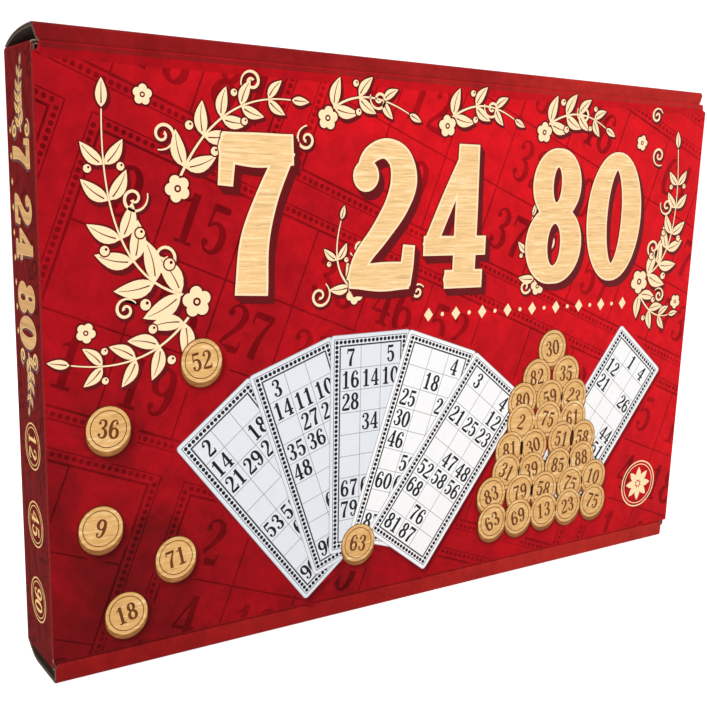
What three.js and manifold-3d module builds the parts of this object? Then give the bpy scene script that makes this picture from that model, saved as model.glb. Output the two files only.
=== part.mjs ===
// Lotto game: a tuck-top box of fine corrugated board that stands on its long edge, with the pack of
// number cards, the drawstring bag of wooden number tiles and a few loose tiles inside it.
// Millimetres, +Z up. The lid faces -Y, the long edges run along X, and the origin is the middle of
// the box's footprint, on the surface that it stands on.
import * as THREE from "three";
import { mergeVertices } from "three/addons/utils/BufferGeometryUtils.js";
import Module from "manifold-3d";

const wasm = await Module();
wasm.setup();

// Box: outside sizes and board
const boxLength = 365; // lid, from cut end to cut end
const boxHeight = 250; // lower ridge to upper ridge
const boxDepth = 35; // lid face to back face
const board = 1.5; // corrugated board
const slit = 0.3; // clearance between neighbouring pieces
const overrun = 1; // how far a cutter runs past what it cuts
const weld = 0.001; // corners closer than this are one
const arcSteps = 6; // straight steps in a quarter turn or a curve

// Long walls: they bow out past the ends of the short walls
const hingeBulge = 6; // upper ridge above the short walls
const footBulge = 5.2; // lower ridge below the short walls
const wallInsetLeft = 0.6; // long walls stop short of the lid's ends, more on the right
const wallInsetRight = 3.9;
const bowSteps = 7; // straight steps along each bow
const ridgeRadius = 1.8;
const hingeBowReach = 10.5; // from the back corner to the bow's control point
const footBowReach = 6.5;
const footRise = 12; // from the back corner to where the foot lies flat
const rimCornerRadius = 2.2;
const bandFlare = 1.3; // upper band is this much longer at its ridge, each end

// Lid and its tuck flap
const notchHeight = 3.6; // relief at the lid's two hinge corners
const notchDepth = 2.6;
const flapReach = 20; // from the lid's inside face to the flap's edge
const flapPitchDegrees = 5; // the flap's edge stands up a little
const flapSideGap = 2; // to each short wall, at the crease
const flapTaper = 8;
const flapCornerRadius = 8;

// Short walls' corner flaps
const cornerFlapLength = 46;
const cornerFlapTaper = 2.5;
const cornerFlapRadius = 6;

// Locking tabs of the rolled-in inner wall and their slots in the back
const tabWidth = 30;
const tabSpacing = 190; // between the two tabs' middles
const tabTaper = 1.5;
const slotSideGap = 0.5;

// Number cards
const cardLength = 212;
const cardHeight = 108;
const cardBoard = 0.9;
const cardAir = 0.35; // between two cards of the pack
const cardSlack = 1; // left free between the pack and the lid, at least
const cardRadius = 2.5;
const cornerSteps = 2; // facets in a small rounded corner

// Drawstring bag with the tiles in it
const bagDepth = 24;
const bagHeight = 98; // foot to the drawn neck
const neckWidth = 30;
const neckDepth = 14;
const frillHeight = 26; // above the drawn neck
const frillWidth = 60;
const frillDepth = 19;
const pleats = 11;
const pleatPoints = 4;
const pleatDepth = 1.6;
const bagCardGap = 5;
const bagTileGap = 12;
const ringPowerShare = 0.8;
// Up the pouch: rise, width and depth, as shares of its height, width and depth
const bagShares = [
  [0, 0.78, 0.42],
  [0.03, 0.92, 0.74],
  [0.12, 1, 0.94],
  [0.3, 0.99, 1],
  [0.5, 0.93, 1],
  [0.68, 0.8, 0.96],
  [0.82, 0.6, 0.84],
  [0.93, 0.38, 0.7],
];
// Up the frill: rise, and how far it has spread from the neck's size to its own, as shares
const frillShares = [
  [0.12, 0.1],
  [0.35, 0.6],
  [0.7, 0.9],
  [1, 1],
];

// Bag cords: each route leaves the drawn neck and hangs down the front of the pouch. A point is
// out from the bag's middle, along Y from its middle, and up from the drawn neck.
const cordDiameter = 2.2;
const cordSides = 8;
const cordStepDiameters = 2;
const cordRoutes = {
  outer: [
    [15.9, -1, 0], [18.6, -1.6, 0.2], [22, -3.8, 0.2], [25.4, -7, -1], [28.8, -10.2, -4],
    [31.6, -12.6, -8.6], [33.4, -13.6, -14], [34.4, -13.8, -20], [34.6, -13.8, -26], [34, -13.8, -32],
    [32.6, -13.8, -38], [30.8, -13.8, -44], [28.8, -13.9, -50], [27.2, -14.3, -56], [26.6, -14.9, -62],
  ],
  inner: [
    [12, -5.9, 0], [12.8, -8.8, -0.6], [14.4, -11.6, -2.8], [15.8, -13, -6.4], [17, -13.8, -11],
    [17.8, -14, -16], [18.2, -14, -21], [18.2, -14, -26], [18.2, -14, -31], [18.6, -14, -36],
    [19.4, -14, -41], [20.6, -14, -46], [22, -14.1, -51], [23.4, -14.4, -56], [24, -14.9, -62],
  ],
};
const knotWidth = 4.8;
const knotLength = 6;
const knotSides = 10;
const knotSteps = 3;
const tasselLength = 8;
const tasselWidth = 4.4;
const tasselNeckWidth = 3;

// Wooden number tiles that lie loose beside the bag
const tileCount = 8;
const tileSide = 20;
const tileThickness = 4;
const tileBevel = 0.4;
const tileRadius = 0.6;

// Places that follow from the sizes
const frontY = -boxDepth / 2;
const backY = boxDepth / 2;
const lidInsideY = frontY + board;
const innerFrontY = lidInsideY + slit; // front limit of what lies inside
const backInsideY = backY - board;
const innerBackY = backInsideY - slit;
const lowerFoldZ = footBulge; // short walls' lower ends
const upperFoldZ = boxHeight - hingeBulge; // short walls' upper ends
const innerWallZ = lowerFoldZ + board + slit; // underside of the rolled-in inner wall
const rimZ = innerWallZ + board; // its top face, level with the rim
const lidBottomZ = rimZ + slit;
const lidTopZ = upperFoldZ - slit;
const sideInsideX = boxLength / 2 - board;
const innerX = sideInsideX - slit;
const longWallLength = boxLength - wallInsetLeft - wallInsetRight;
const longWallX = (wallInsetLeft - wallInsetRight) / 2;
const flapPitch = THREE.MathUtils.degToRad(flapPitchDegrees);
const flapEdgeY = frontY + (board + flapReach) * Math.cos(flapPitch);
const flapTopZ = lidBottomZ + (board + flapReach) * Math.sin(flapPitch) + board * Math.cos(flapPitch);
// The flap's edge climbs by this much when it swings out with the hinge wall from the back corner.
const flapSwingRun = flapEdgeY - innerFrontY;
const flapSwingDrop = upperFoldZ - flapTopZ;
const flapSwingRise = (flapSwingRun * (backY - flapEdgeY + flapSwingRun / 2)) / flapSwingDrop;
const flapSeatZ = flapTopZ + flapSwingRise + slit; // pieces over the flap rest from here
const wallSeatZ = rimZ + slit; // pieces behind the flap rest on the inner wall
const cardPitch = cardBoard + cardAir;
const cardCount = Math.floor((innerBackY - innerFrontY - cardSlack + cardAir) / cardPitch);
const cardsEndX = slit - innerX;
const tilesStartX = innerX - tileSide;
const bagStartX = cardsEndX + cardLength + bagCardGap;
const bagEndX = tilesStartX - bagTileGap;
const bagWidth = bagEndX - bagStartX; // the bag fills the room between the cards and the tiles
const bagX = (bagStartX + bagEndX) / 2;
const bagY = innerBackY - bagDepth / 2;
const neckZ = flapSeatZ + bagHeight;

const finish = (color, roughness) => new THREE.MeshStandardMaterial({ color, roughness, metalness: 0 });
const printed = () => finish(0xb81c22, 0.45);
const printedDark = () => finish(0x7a1a1e, 0.45);
const rawBoard = () => finish(0xb9a893, 0.9);
const cardPaper = () => finish(0xeceef0, 0.6);
const bagCloth = () => finish(0xcfa566, 0.95);
const cordThread = () => finish(0xd8a070, 0.9);
const tileWood = () => finish(0xe6bf84, 0.7);

const lotto = new THREE.Group();

function place(geometry, name, material, parent = lotto) {
  const mesh = new THREE.Mesh(geometry, material);
  mesh.name = name;
  parent.add(mesh);
  return mesh;
}

function toSolid(geometry) {
  const bare = geometry.clone();
  bare.deleteAttribute("normal");
  bare.deleteAttribute("uv");
  const merged = mergeVertices(bare, weld);
  return new wasm.Manifold(
    new wasm.Mesh({
      numProp: 3,
      vertProperties: new Float32Array(merged.attributes.position.array),
      triVerts: new Uint32Array(merged.index.array),
    }),
  );
}

function toGeometry(solid) {
  const mesh = solid.getMesh();
  const geometry = new THREE.BufferGeometry();
  geometry.setAttribute("position", new THREE.BufferAttribute(mesh.vertProperties, 3));
  geometry.setIndex(new THREE.BufferAttribute(mesh.triVerts, 1));
  geometry.computeVertexNormals();
  return geometry;
}

const extrude = (shape, depth, options = {}) =>
  new THREE.ExtrudeGeometry(shape, { depth, bevelEnabled: false, curveSegments: arcSteps, ...options });

// A level sheet: its outline is drawn in X and Y, and it fills Z from 0 to its thickness.
const levelSheet = (shape, thickness) => extrude(shape, thickness);

// An upright sheet: its outline is drawn in X and Z, and it fills Y from 0 to its thickness.
function uprightSheet(shape, thickness, options = {}) {
  const geometry = extrude(shape, thickness, options);
  geometry.rotateX(Math.PI / 2);
  geometry.translate(0, thickness, 0);
  return geometry;
}

// A run along X, centred, of a section drawn in Y and Z.
function runAlongX(shape, length) {
  const geometry = extrude(shape, length);
  const axes = new THREE.Matrix4().makeBasis(
    new THREE.Vector3(0, 1, 0),
    new THREE.Vector3(0, 0, 1),
    new THREE.Vector3(1, 0, 0),
  );
  geometry.applyMatrix4(axes);
  geometry.translate(-length / 2, 0, 0);
  return geometry;
}

const rectangle = (x0, y0, x1, y1) =>
  new THREE.Shape([
    new THREE.Vector2(x0, y0),
    new THREE.Vector2(x1, y0),
    new THREE.Vector2(x1, y1),
    new THREE.Vector2(x0, y1),
  ]);

function roundedRectangle(width, height, radius) {
  const shape = new THREE.Shape();
  const [x, y] = [width / 2, height / 2];
  shape.moveTo(-x + radius, -y);
  shape.absarc(x - radius, -y + radius, radius, -Math.PI / 2, 0, false);
  shape.absarc(x - radius, y - radius, radius, 0, Math.PI / 2, false);
  shape.absarc(-x + radius, y - radius, radius, Math.PI / 2, Math.PI, false);
  shape.absarc(-x + radius, -y + radius, radius, Math.PI, 1.5 * Math.PI, false);
  return shape;
}

// The section of a folded board: its outer face follows the path, and its inner face lies one board
// inwards, to the path's left (1) or right (-1). Both end faces are level, as the creases leave them.
function boardSection(path, inwards) {
  const outer = path.getPoints(bowSteps);
  const inner = outer.map((point, i) => {
    const normals = [];
    if (i > 0) normals.push(inwardNormal(outer[i - 1], point, inwards));
    if (i < outer.length - 1) normals.push(inwardNormal(point, outer[i + 1], inwards));
    const cut = new THREE.Vector2();
    if (normals.length === 2) cut.addVectors(normals[0], normals[1]).normalize();
    else cut.set(Math.sign(normals[0].x), 0);
    return point.clone().addScaledVector(cut, board / cut.dot(normals[0]));
  });
  return new THREE.Shape([...outer, ...inner.reverse()]);
}

function inwardNormal(from, to, inwards) {
  const normal = new THREE.Vector2(from.y - to.y, to.x - from.x).normalize();
  return normal.multiplyScalar(inwards);
}

function cutAway(geometry, cutters) {
  let solid = toSolid(geometry);
  for (const cutter of cutters) solid = solid.subtract(toSolid(cutter));
  return toGeometry(solid);
}

// Back panel, with the slots that hold the inner wall's tabs
function backPanel() {
  const panel = uprightSheet(rectangle(-innerX, lowerFoldZ, innerX, upperFoldZ), board);
  const slotHalf = tabWidth / 2 + slotSideGap;
  const slots = [-1, 1].map((side) => {
    const middle = (side * tabSpacing) / 2;
    const slot = rectangle(middle - slotHalf, innerWallZ - slit, middle + slotHalf, rimZ + slit);
    return uprightSheet(slot, board + 2 * overrun).translate(0, -overrun, 0);
  });
  place(cutAway(panel, slots), "back_panel", printed()).position.y = backInsideY;
}

// Short wall and its two corner flaps, folded in at its ends
function sideWall(side, name) {
  const wall = rectangle(innerFrontY, lowerFoldZ, backY, upperFoldZ);
  const mesh = place(runAlongX(wall, board), "side_wall_" + name, printedDark());
  mesh.position.x = side * (boxLength / 2 - board / 2);
  for (const [end, z] of [["lower", lowerFoldZ], ["upper", upperFoldZ - board]]) {
    const flap = place(cornerFlap(side), "corner_flap_" + end + "_" + name, rawBoard());
    flap.position.z = z;
  }
}

function cornerFlap(side) {
  const root = side * innerX;
  const tip = side * (innerX - cornerFlapLength);
  const turn = side * cornerFlapRadius;
  const [front, back] = [innerFrontY + cornerFlapTaper, innerBackY - cornerFlapTaper];
  const shape = new THREE.Shape();
  shape.moveTo(root, innerFrontY);
  shape.lineTo(tip + turn, front);
  shape.quadraticCurveTo(tip, front, tip, front + cornerFlapRadius);
  shape.lineTo(tip, back - cornerFlapRadius);
  shape.quadraticCurveTo(tip, back, tip + turn, back);
  shape.lineTo(root, innerBackY);
  return levelSheet(shape, board);
}

// Foot wall: from the back corner it bows down to the ridge, then turns up as the front rim
function footWall() {
  const path = new THREE.Path();
  const cornerZ = lowerFoldZ - slit;
  path.moveTo(backY, cornerZ);
  path.quadraticCurveTo(backY - footBowReach, 0, backY - footRise, 0);
  path.lineTo(frontY + ridgeRadius, 0);
  path.absarc(frontY + ridgeRadius, ridgeRadius, ridgeRadius, -Math.PI / 2, -Math.PI, true);
  path.lineTo(frontY, rimZ);
  const wall = runAlongX(boardSection(path, -1), longWallLength);
  const cutters = [-1, 1].map((side) => {
    const cutter = uprightSheet(cornerCut(side, rimCornerRadius), board + 2 * overrun);
    cutter.translate((side * longWallLength) / 2, frontY - overrun, rimZ);
    return cutter;
  });
  place(cutAway(wall, cutters), "foot_wall", printed()).position.x = longWallX;
}

// Hinge wall: from the back corner it bows up to the ridge, then turns down as the upper band
function hingeWall(parent) {
  const path = new THREE.Path();
  const cornerZ = upperFoldZ + slit;
  path.moveTo(backY, cornerZ);
  path.quadraticCurveTo(backY - hingeBowReach, boxHeight, frontY + ridgeRadius, boxHeight);
  path.absarc(frontY + ridgeRadius, boxHeight - ridgeRadius, ridgeRadius, Math.PI / 2, Math.PI, false);
  path.lineTo(frontY, upperFoldZ);
  const wall = runAlongX(boardSection(path, 1), longWallLength);
  const cutters = [-1, 1].map((side) => {
    const cutter = uprightSheet(flareCut(side), board + 2 * overrun);
    cutter.translate((side * longWallLength) / 2, frontY - overrun, upperFoldZ);
    return cutter;
  });
  place(cutAway(wall, cutters), "hinge_wall", printedDark(), parent).position.x = longWallX;
}

// What a rounded outer corner takes off, drawn around the corner point
function cornerCut(side, radius) {
  const shape = new THREE.Shape();
  shape.moveTo(side * overrun, -radius);
  shape.lineTo(0, -radius);
  shape.quadraticCurveTo(0, 0, -side * radius, 0);
  shape.lineTo(-side * radius, overrun);
  shape.lineTo(side * overrun, overrun);
  return shape;
}

// What the upper band's slanted end takes off, drawn around the band's lower corner
function flareCut(side) {
  return new THREE.Shape([
    new THREE.Vector2(-side * bandFlare, -overrun),
    new THREE.Vector2(side * overrun, -overrun),
    new THREE.Vector2(side * overrun, hingeBulge - ridgeRadius),
    new THREE.Vector2(0, hingeBulge - ridgeRadius),
    new THREE.Vector2(-side * bandFlare, 0),
  ]);
}

// Inner wall: the rim rolled in and down to the back, with two tapered locking tabs
function innerWall() {
  const [front, back] = [innerFrontY, innerBackY];
  const end = innerX - slit;
  const shape = new THREE.Shape();
  shape.moveTo(-end, front);
  shape.lineTo(end, front);
  shape.lineTo(end, back);
  for (const side of [1, -1]) {
    const middle = (side * tabSpacing) / 2;
    shape.lineTo(middle + tabWidth / 2, back);
    shape.lineTo(middle + tabWidth / 2 - tabTaper, backY);
    shape.lineTo(middle - tabWidth / 2 + tabTaper, backY);
    shape.lineTo(middle - tabWidth / 2, back);
  }
  shape.lineTo(-end, back);
  place(levelSheet(shape, board), "inner_foot_wall", rawBoard()).position.z = innerWallZ;
}

// Lid panel: its cut ends lie over the short walls, and its hinge corners are relieved
function lidPanel(parent) {
  const end = boxLength / 2;
  const shape = new THREE.Shape();
  shape.moveTo(-end, lidBottomZ);
  shape.lineTo(end, lidBottomZ);
  shape.lineTo(end, lidTopZ - notchHeight);
  shape.quadraticCurveTo(end - notchDepth, lidTopZ - notchHeight, end - notchDepth, lidTopZ);
  shape.lineTo(notchDepth - end, lidTopZ);
  shape.quadraticCurveTo(notchDepth - end, lidTopZ - notchHeight, -end, lidTopZ - notchHeight);
  place(uprightSheet(shape, board), "lid_panel", printed(), parent).position.y = frontY;
}

// Tuck flap: hangs on the lid's lower crease and lies on the inner wall when the box is shut
function tuckFlap(parent) {
  const root = innerX - flapSideGap;
  const tip = root - flapTaper;
  const near = board + slit + board * Math.sin(flapPitch);
  const far = board + flapReach;
  const turn = far - flapCornerRadius;
  const slant = (flapTaper * flapCornerRadius) / flapReach;
  const shape = new THREE.Shape();
  shape.moveTo(-root, near);
  shape.lineTo(root, near);
  shape.lineTo(tip + slant, turn);
  shape.quadraticCurveTo(tip, far, tip - flapCornerRadius, far);
  shape.lineTo(flapCornerRadius - tip, far);
  shape.quadraticCurveTo(-tip, far, -tip - slant, turn);
  const crease = new THREE.Group();
  crease.position.set(0, frontY, lidBottomZ);
  crease.rotation.x = flapPitch;
  parent.add(crease);
  place(levelSheet(shape, board), "tuck_flap", rawBoard(), crease);
}

// Cards: a pack that stands on its long edges against the back. Those in front of the tuck flap's
// edge stand on the flap, and the others on the inner wall behind it.
function cards() {
  const outline = roundedRectangle(cardLength, cardHeight, cardRadius);
  for (let i = 0; i < cardCount; i++) {
    const cardY = innerBackY - cardBoard - i * cardPitch;
    const seatZ = cardY < flapEdgeY + slit ? flapSeatZ : wallSeatZ;
    const name = "card_" + String(i + 1).padStart(2, "0");
    const sheet = uprightSheet(outline, cardBoard, { curveSegments: cornerSteps });
    const card = place(sheet, name, cardPaper());
    card.position.set(cardsEndX + cardLength / 2, cardY, seatZ + cardHeight / 2);
  }
}

// A closed loft through rings of points, each with as many points, capped at both ends
function loft(rings) {
  const around = rings[0].length;
  const points = rings.flat();
  const faces = [];
  for (let r = 0; r < rings.length - 1; r++) {
    for (let k = 0; k < around; k++) {
      const a = r * around + k;
      const b = r * around + ((k + 1) % around);
      faces.push(a, b, b + around, a, b + around, a + around);
    }
  }
  for (const top of [false, true]) {
    const ring = top ? rings.length - 1 : 0;
    const middle = new THREE.Vector3();
    rings[ring].forEach((point) => middle.addScaledVector(point, 1 / around));
    points.push(middle);
    for (let k = 0; k < around; k++) {
      const a = ring * around + k;
      const b = ring * around + ((k + 1) % around);
      faces.push(points.length - 1, top ? a : b, top ? b : a);
    }
  }
  const geometry = new THREE.BufferGeometry().setFromPoints(points);
  geometry.setIndex(faces);
  geometry.computeVertexNormals();
  return geometry;
}

const squarish = (value) => Math.sign(value) * Math.abs(value) ** ringPowerShare;

// One level ring round the bag, squarish, with pleats that cut in by the given depth
function bagRing(z, width, depth, pleat) {
  const ring = [];
  for (let k = 0; k < pleats * pleatPoints; k++) {
    const turn = (2 * Math.PI * k) / (pleats * pleatPoints);
    const cut = pleat * (0.5 - 0.5 * Math.cos(turn * pleats));
    const x = squarish(Math.cos(turn)) * (width / 2 - cut);
    const y = squarish(Math.sin(turn)) * (depth / 2 - cut);
    ring.push(new THREE.Vector3(bagX + x, bagY + y, z));
  }
  return ring;
}

// Bag: a full pouch, drawn in at its neck, with the gathered frill above
function bagPouch() {
  const rings = bagShares.map(([riseShare, widthShare, depthShare]) => {
    const z = flapSeatZ + riseShare * bagHeight;
    const pleat = riseShare * riseShare * pleatDepth; // the pleats deepen towards the neck
    return bagRing(z, widthShare * bagWidth, depthShare * bagDepth, pleat);
  });
  rings.push(bagRing(neckZ, neckWidth, neckDepth, pleatDepth));
  for (const [riseShare, spreadShare] of frillShares) {
    const width = THREE.MathUtils.lerp(neckWidth, frillWidth, spreadShare);
    const depth = THREE.MathUtils.lerp(neckDepth, frillDepth, spreadShare);
    rings.push(bagRing(neckZ + riseShare * frillHeight, width, depth, pleatDepth));
  }
  place(loft(rings), "bag_pouch", bagCloth());
}

// Bag cords: both ends of each cord leave one side of the neck and meet in a knot
function bagCords() {
  for (const [side, sideName] of [[-1, "left"], [1, "right"]]) {
    for (const [strand, route] of Object.entries(cordRoutes)) {
      const points = route.map(([out, y, z]) => new THREE.Vector3(bagX + side * out, bagY + y, neckZ + z));
      const section = new THREE.Shape().absarc(0, 0, cordDiameter / 2, 0, 2 * Math.PI);
      const curve = new THREE.CatmullRomCurve3(points, false, "centripetal");
      const tube = new THREE.ExtrudeGeometry(section, {
        extrudePath: curve,
        steps: Math.round(curve.getLength() / (cordStepDiameters * cordDiameter)),
        curveSegments: cordSides / 2,
        bevelEnabled: false,
      });
      place(tube, "bag_cord_" + strand + "_" + sideName, cordThread());
    }
    bagKnot(side, sideName);
  }
}

// Knot: the tied lump and the short tassel of cut ends under it
function bagKnot(side, sideName) {
  const ends = Object.values(cordRoutes).map((route) => route[route.length - 1]);
  const out = (ends[0][0] + ends[1][0]) / 2;
  const top = neckZ + ends[0][2] - slit;
  const profile = new THREE.Path();
  profile.moveTo(0, 0);
  profile.lineTo(knotWidth / 2, 0);
  profile.quadraticCurveTo(knotWidth / 2, -knotLength, tasselNeckWidth / 2, -knotLength);
  profile.lineTo(tasselWidth / 2, -knotLength - tasselLength);
  profile.lineTo(0, -knotLength - tasselLength);
  const outline = profile.getPoints(knotSteps).reverse();
  const knot = place(new THREE.LatheGeometry(outline, knotSides), "bag_knot_" + sideName, cordThread());
  knot.rotation.x = Math.PI / 2;
  knot.position.set(bagX + side * out, bagY + ends[0][1], top);
}

// Loose tiles: a little column between the bag and the short wall
function tiles() {
  const outline = roundedRectangle(tileSide - 2 * tileBevel, tileSide - 2 * tileBevel, tileRadius);
  for (let i = 0; i < tileCount; i++) {
    const block = new THREE.ExtrudeGeometry(outline, {
      depth: tileThickness - 2 * tileBevel,
      bevelThickness: tileBevel,
      bevelSize: tileBevel,
      bevelSegments: 1,
      curveSegments: 1,
    });
    const tile = place(block, "tile_" + (i + 1), tileWood());
    const z = flapSeatZ + tileBevel + i * (tileThickness + slit);
    tile.position.set(tilesStartX + tileSide / 2, innerBackY - tileSide / 2, z);
  }
}

backPanel();
sideWall(-1, "left");
sideWall(1, "right");
footWall();
innerWall();

const hingeAssembly = new THREE.Group();
const lidAssembly = new THREE.Group();
lotto.add(hingeAssembly);
hingeAssembly.add(lidAssembly);
hingeWall(hingeAssembly);
lidPanel(lidAssembly);
tuckFlap(lidAssembly);

cards();
bagPouch();
bagCords();
tiles();

export default lotto;
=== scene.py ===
import functools
import math
import random

import bmesh
import bpy
import numpy as np
from mathutils import Matrix, Vector
from mathutils.geometry import delaunay_2d_cdt


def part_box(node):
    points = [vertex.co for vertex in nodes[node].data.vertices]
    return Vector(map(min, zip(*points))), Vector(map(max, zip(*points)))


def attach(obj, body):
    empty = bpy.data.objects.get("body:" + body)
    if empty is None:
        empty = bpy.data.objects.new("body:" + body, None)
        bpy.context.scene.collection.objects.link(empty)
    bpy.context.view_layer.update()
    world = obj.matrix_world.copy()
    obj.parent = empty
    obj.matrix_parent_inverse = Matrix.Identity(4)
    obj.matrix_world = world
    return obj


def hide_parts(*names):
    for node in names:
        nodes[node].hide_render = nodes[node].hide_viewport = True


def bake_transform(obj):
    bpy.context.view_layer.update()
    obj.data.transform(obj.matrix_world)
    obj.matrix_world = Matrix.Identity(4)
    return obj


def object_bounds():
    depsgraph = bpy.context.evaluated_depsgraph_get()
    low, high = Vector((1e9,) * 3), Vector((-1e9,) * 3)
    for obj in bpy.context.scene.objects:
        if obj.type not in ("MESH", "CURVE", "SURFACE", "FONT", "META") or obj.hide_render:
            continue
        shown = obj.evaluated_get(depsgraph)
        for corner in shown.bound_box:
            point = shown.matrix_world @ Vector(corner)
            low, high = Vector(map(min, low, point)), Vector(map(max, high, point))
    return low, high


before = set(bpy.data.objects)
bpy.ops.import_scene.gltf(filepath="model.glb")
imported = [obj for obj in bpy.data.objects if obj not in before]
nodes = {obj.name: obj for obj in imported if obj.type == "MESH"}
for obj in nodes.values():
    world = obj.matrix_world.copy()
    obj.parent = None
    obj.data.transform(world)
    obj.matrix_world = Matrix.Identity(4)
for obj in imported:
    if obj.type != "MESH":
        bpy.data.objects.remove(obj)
cad_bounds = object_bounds()
scene = bpy.context.scene
MM = 0.001

# Camera, fitted to the box's corners in the photo
PICTURE = 707
FOCAL_PX = 1024.5
CENTRE_PX = (342.0, 403.6)
SENSOR = 36.0
EYE = (-0.298, -0.389, 0.1987)
YAW, PITCH, ROLL = 33.84, -12.27, 1.57


def make_camera():
    camera = bpy.data.cameras.new("camera")
    camera.sensor_width = SENSOR
    camera.lens = FOCAL_PX / PICTURE * SENSOR
    camera.shift_x = (PICTURE / 2 - CENTRE_PX[0]) / PICTURE
    camera.shift_y = (CENTRE_PX[1] - PICTURE / 2) / PICTURE
    camera.clip_start, camera.clip_end = 0.02, 50
    ob = bpy.data.objects.new("camera", camera)
    scene.collection.objects.link(ob)
    yaw, pitch, roll = (math.radians(angle) for angle in (YAW, PITCH, ROLL))
    forward = Vector((math.sin(yaw) * math.cos(pitch), math.cos(yaw) * math.cos(pitch), math.sin(pitch)))
    right = Vector((math.cos(yaw), -math.sin(yaw), 0))
    up = right.cross(forward)
    across = math.cos(roll) * right + math.sin(roll) * up
    axes = (across, across.cross(forward), -forward)
    ob.matrix_world = Matrix.Translation(Vector(EYE)) @ Matrix(axes).transposed().to_4x4()
    scene.camera = ob


make_camera()


# Meshes
def to_object(name, verts, faces, materials, index=None, smooth=False, shades=None):
    mesh = bpy.data.meshes.new(name)
    mesh.from_pydata((np.asarray(verts, float) * MM).tolist(), [], [tuple(map(int, face)) for face in faces])
    for material in materials:
        mesh.materials.append(material)
    if index is not None:
        mesh.polygons.foreach_set("material_index", np.asarray(index, np.int32))
    if shades is not None:
        shade = mesh.attributes.new("shade", "FLOAT", "POINT")
        shade.data.foreach_set("value", np.asarray(shades, np.float32))
    work = bmesh.new()
    work.from_mesh(mesh)
    bmesh.ops.recalc_face_normals(work, faces=work.faces)
    work.to_mesh(mesh)
    work.free()
    mesh.polygons.foreach_set("use_smooth", [smooth] * len(mesh.polygons))
    mesh.update()
    ob = bpy.data.objects.new(name, mesh)
    scene.collection.objects.link(ob)
    return ob


def dress(ob, body, slot, *replaced):
    """A piece rides on a body and hides the nodes of the model that it stands for. The slot is not used."""
    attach(ob, body)
    if replaced:
        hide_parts(*replaced)
    return ob


def corners(box):
    """The lowest and highest corners of one of the frame's boxes, in millimetres."""
    return np.round(np.array(box) / MM, 4)


class Shells:
    """Collects closed shells into one mesh."""

    def __init__(self):
        self.verts, self.faces, self.index, self.count = [], [], [], 0

    def add(self, shell, index=0):
        verts, faces = shell
        self.verts.append(np.reshape(verts, (-1, 3)))
        self.faces += [tuple(i + self.count for i in face) for face in faces]
        self.index += list(index) if hasattr(index, "__len__") else [index] * len(faces)
        self.count += len(self.verts[-1])

    def object(self, name, materials, smooth=False):
        return to_object(name, np.concatenate(self.verts), self.faces, materials, self.index, smooth)


def skin(near, far, keep):
    """A closed skin between two grids of points, over the cells to keep. Gives the shell and a kind for
    each face: 0 on the near grid, 1 on the far grid, 2 at an edge."""
    rows, columns = near.shape[:2]
    around = np.pad(keep, 1)
    at = lambda corner, layer: (layer * rows + corner[0]) * columns + corner[1]
    faces, kinds = [], []
    for i, j in np.argwhere(keep).tolist():
        ring = [(i, j), (i + 1, j), (i + 1, j + 1), (i, j + 1)]
        faces += [[at(corner, 0) for corner in ring], [at(corner, 1) for corner in reversed(ring)]]
        kinds += [0, 1]
        for k, (di, dj) in enumerate([(0, -1), (1, 0), (0, 1), (-1, 0)]):
            if not around[i + 1 + di, j + 1 + dj]:
                a, b = ring[k], ring[(k + 1) % 4]
                faces.append([at(b, 0), at(a, 0), at(a, 1), at(b, 1)])
                kinds.append(2)
    used, order = np.unique(faces, return_inverse=True)
    verts = np.concatenate([near.reshape(-1, 3), far.reshape(-1, 3)])[used]
    return (verts, order.reshape(-1, 4).tolist()), kinds


# Corrugated board
BOARD = 1.5
OUTER_LINER, INNER_LINER = 0.32, 0.27
FLUTE_SHEET, FLUTE_PITCH, FLUTE_STEPS = 0.2, 3.3, 8


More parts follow.
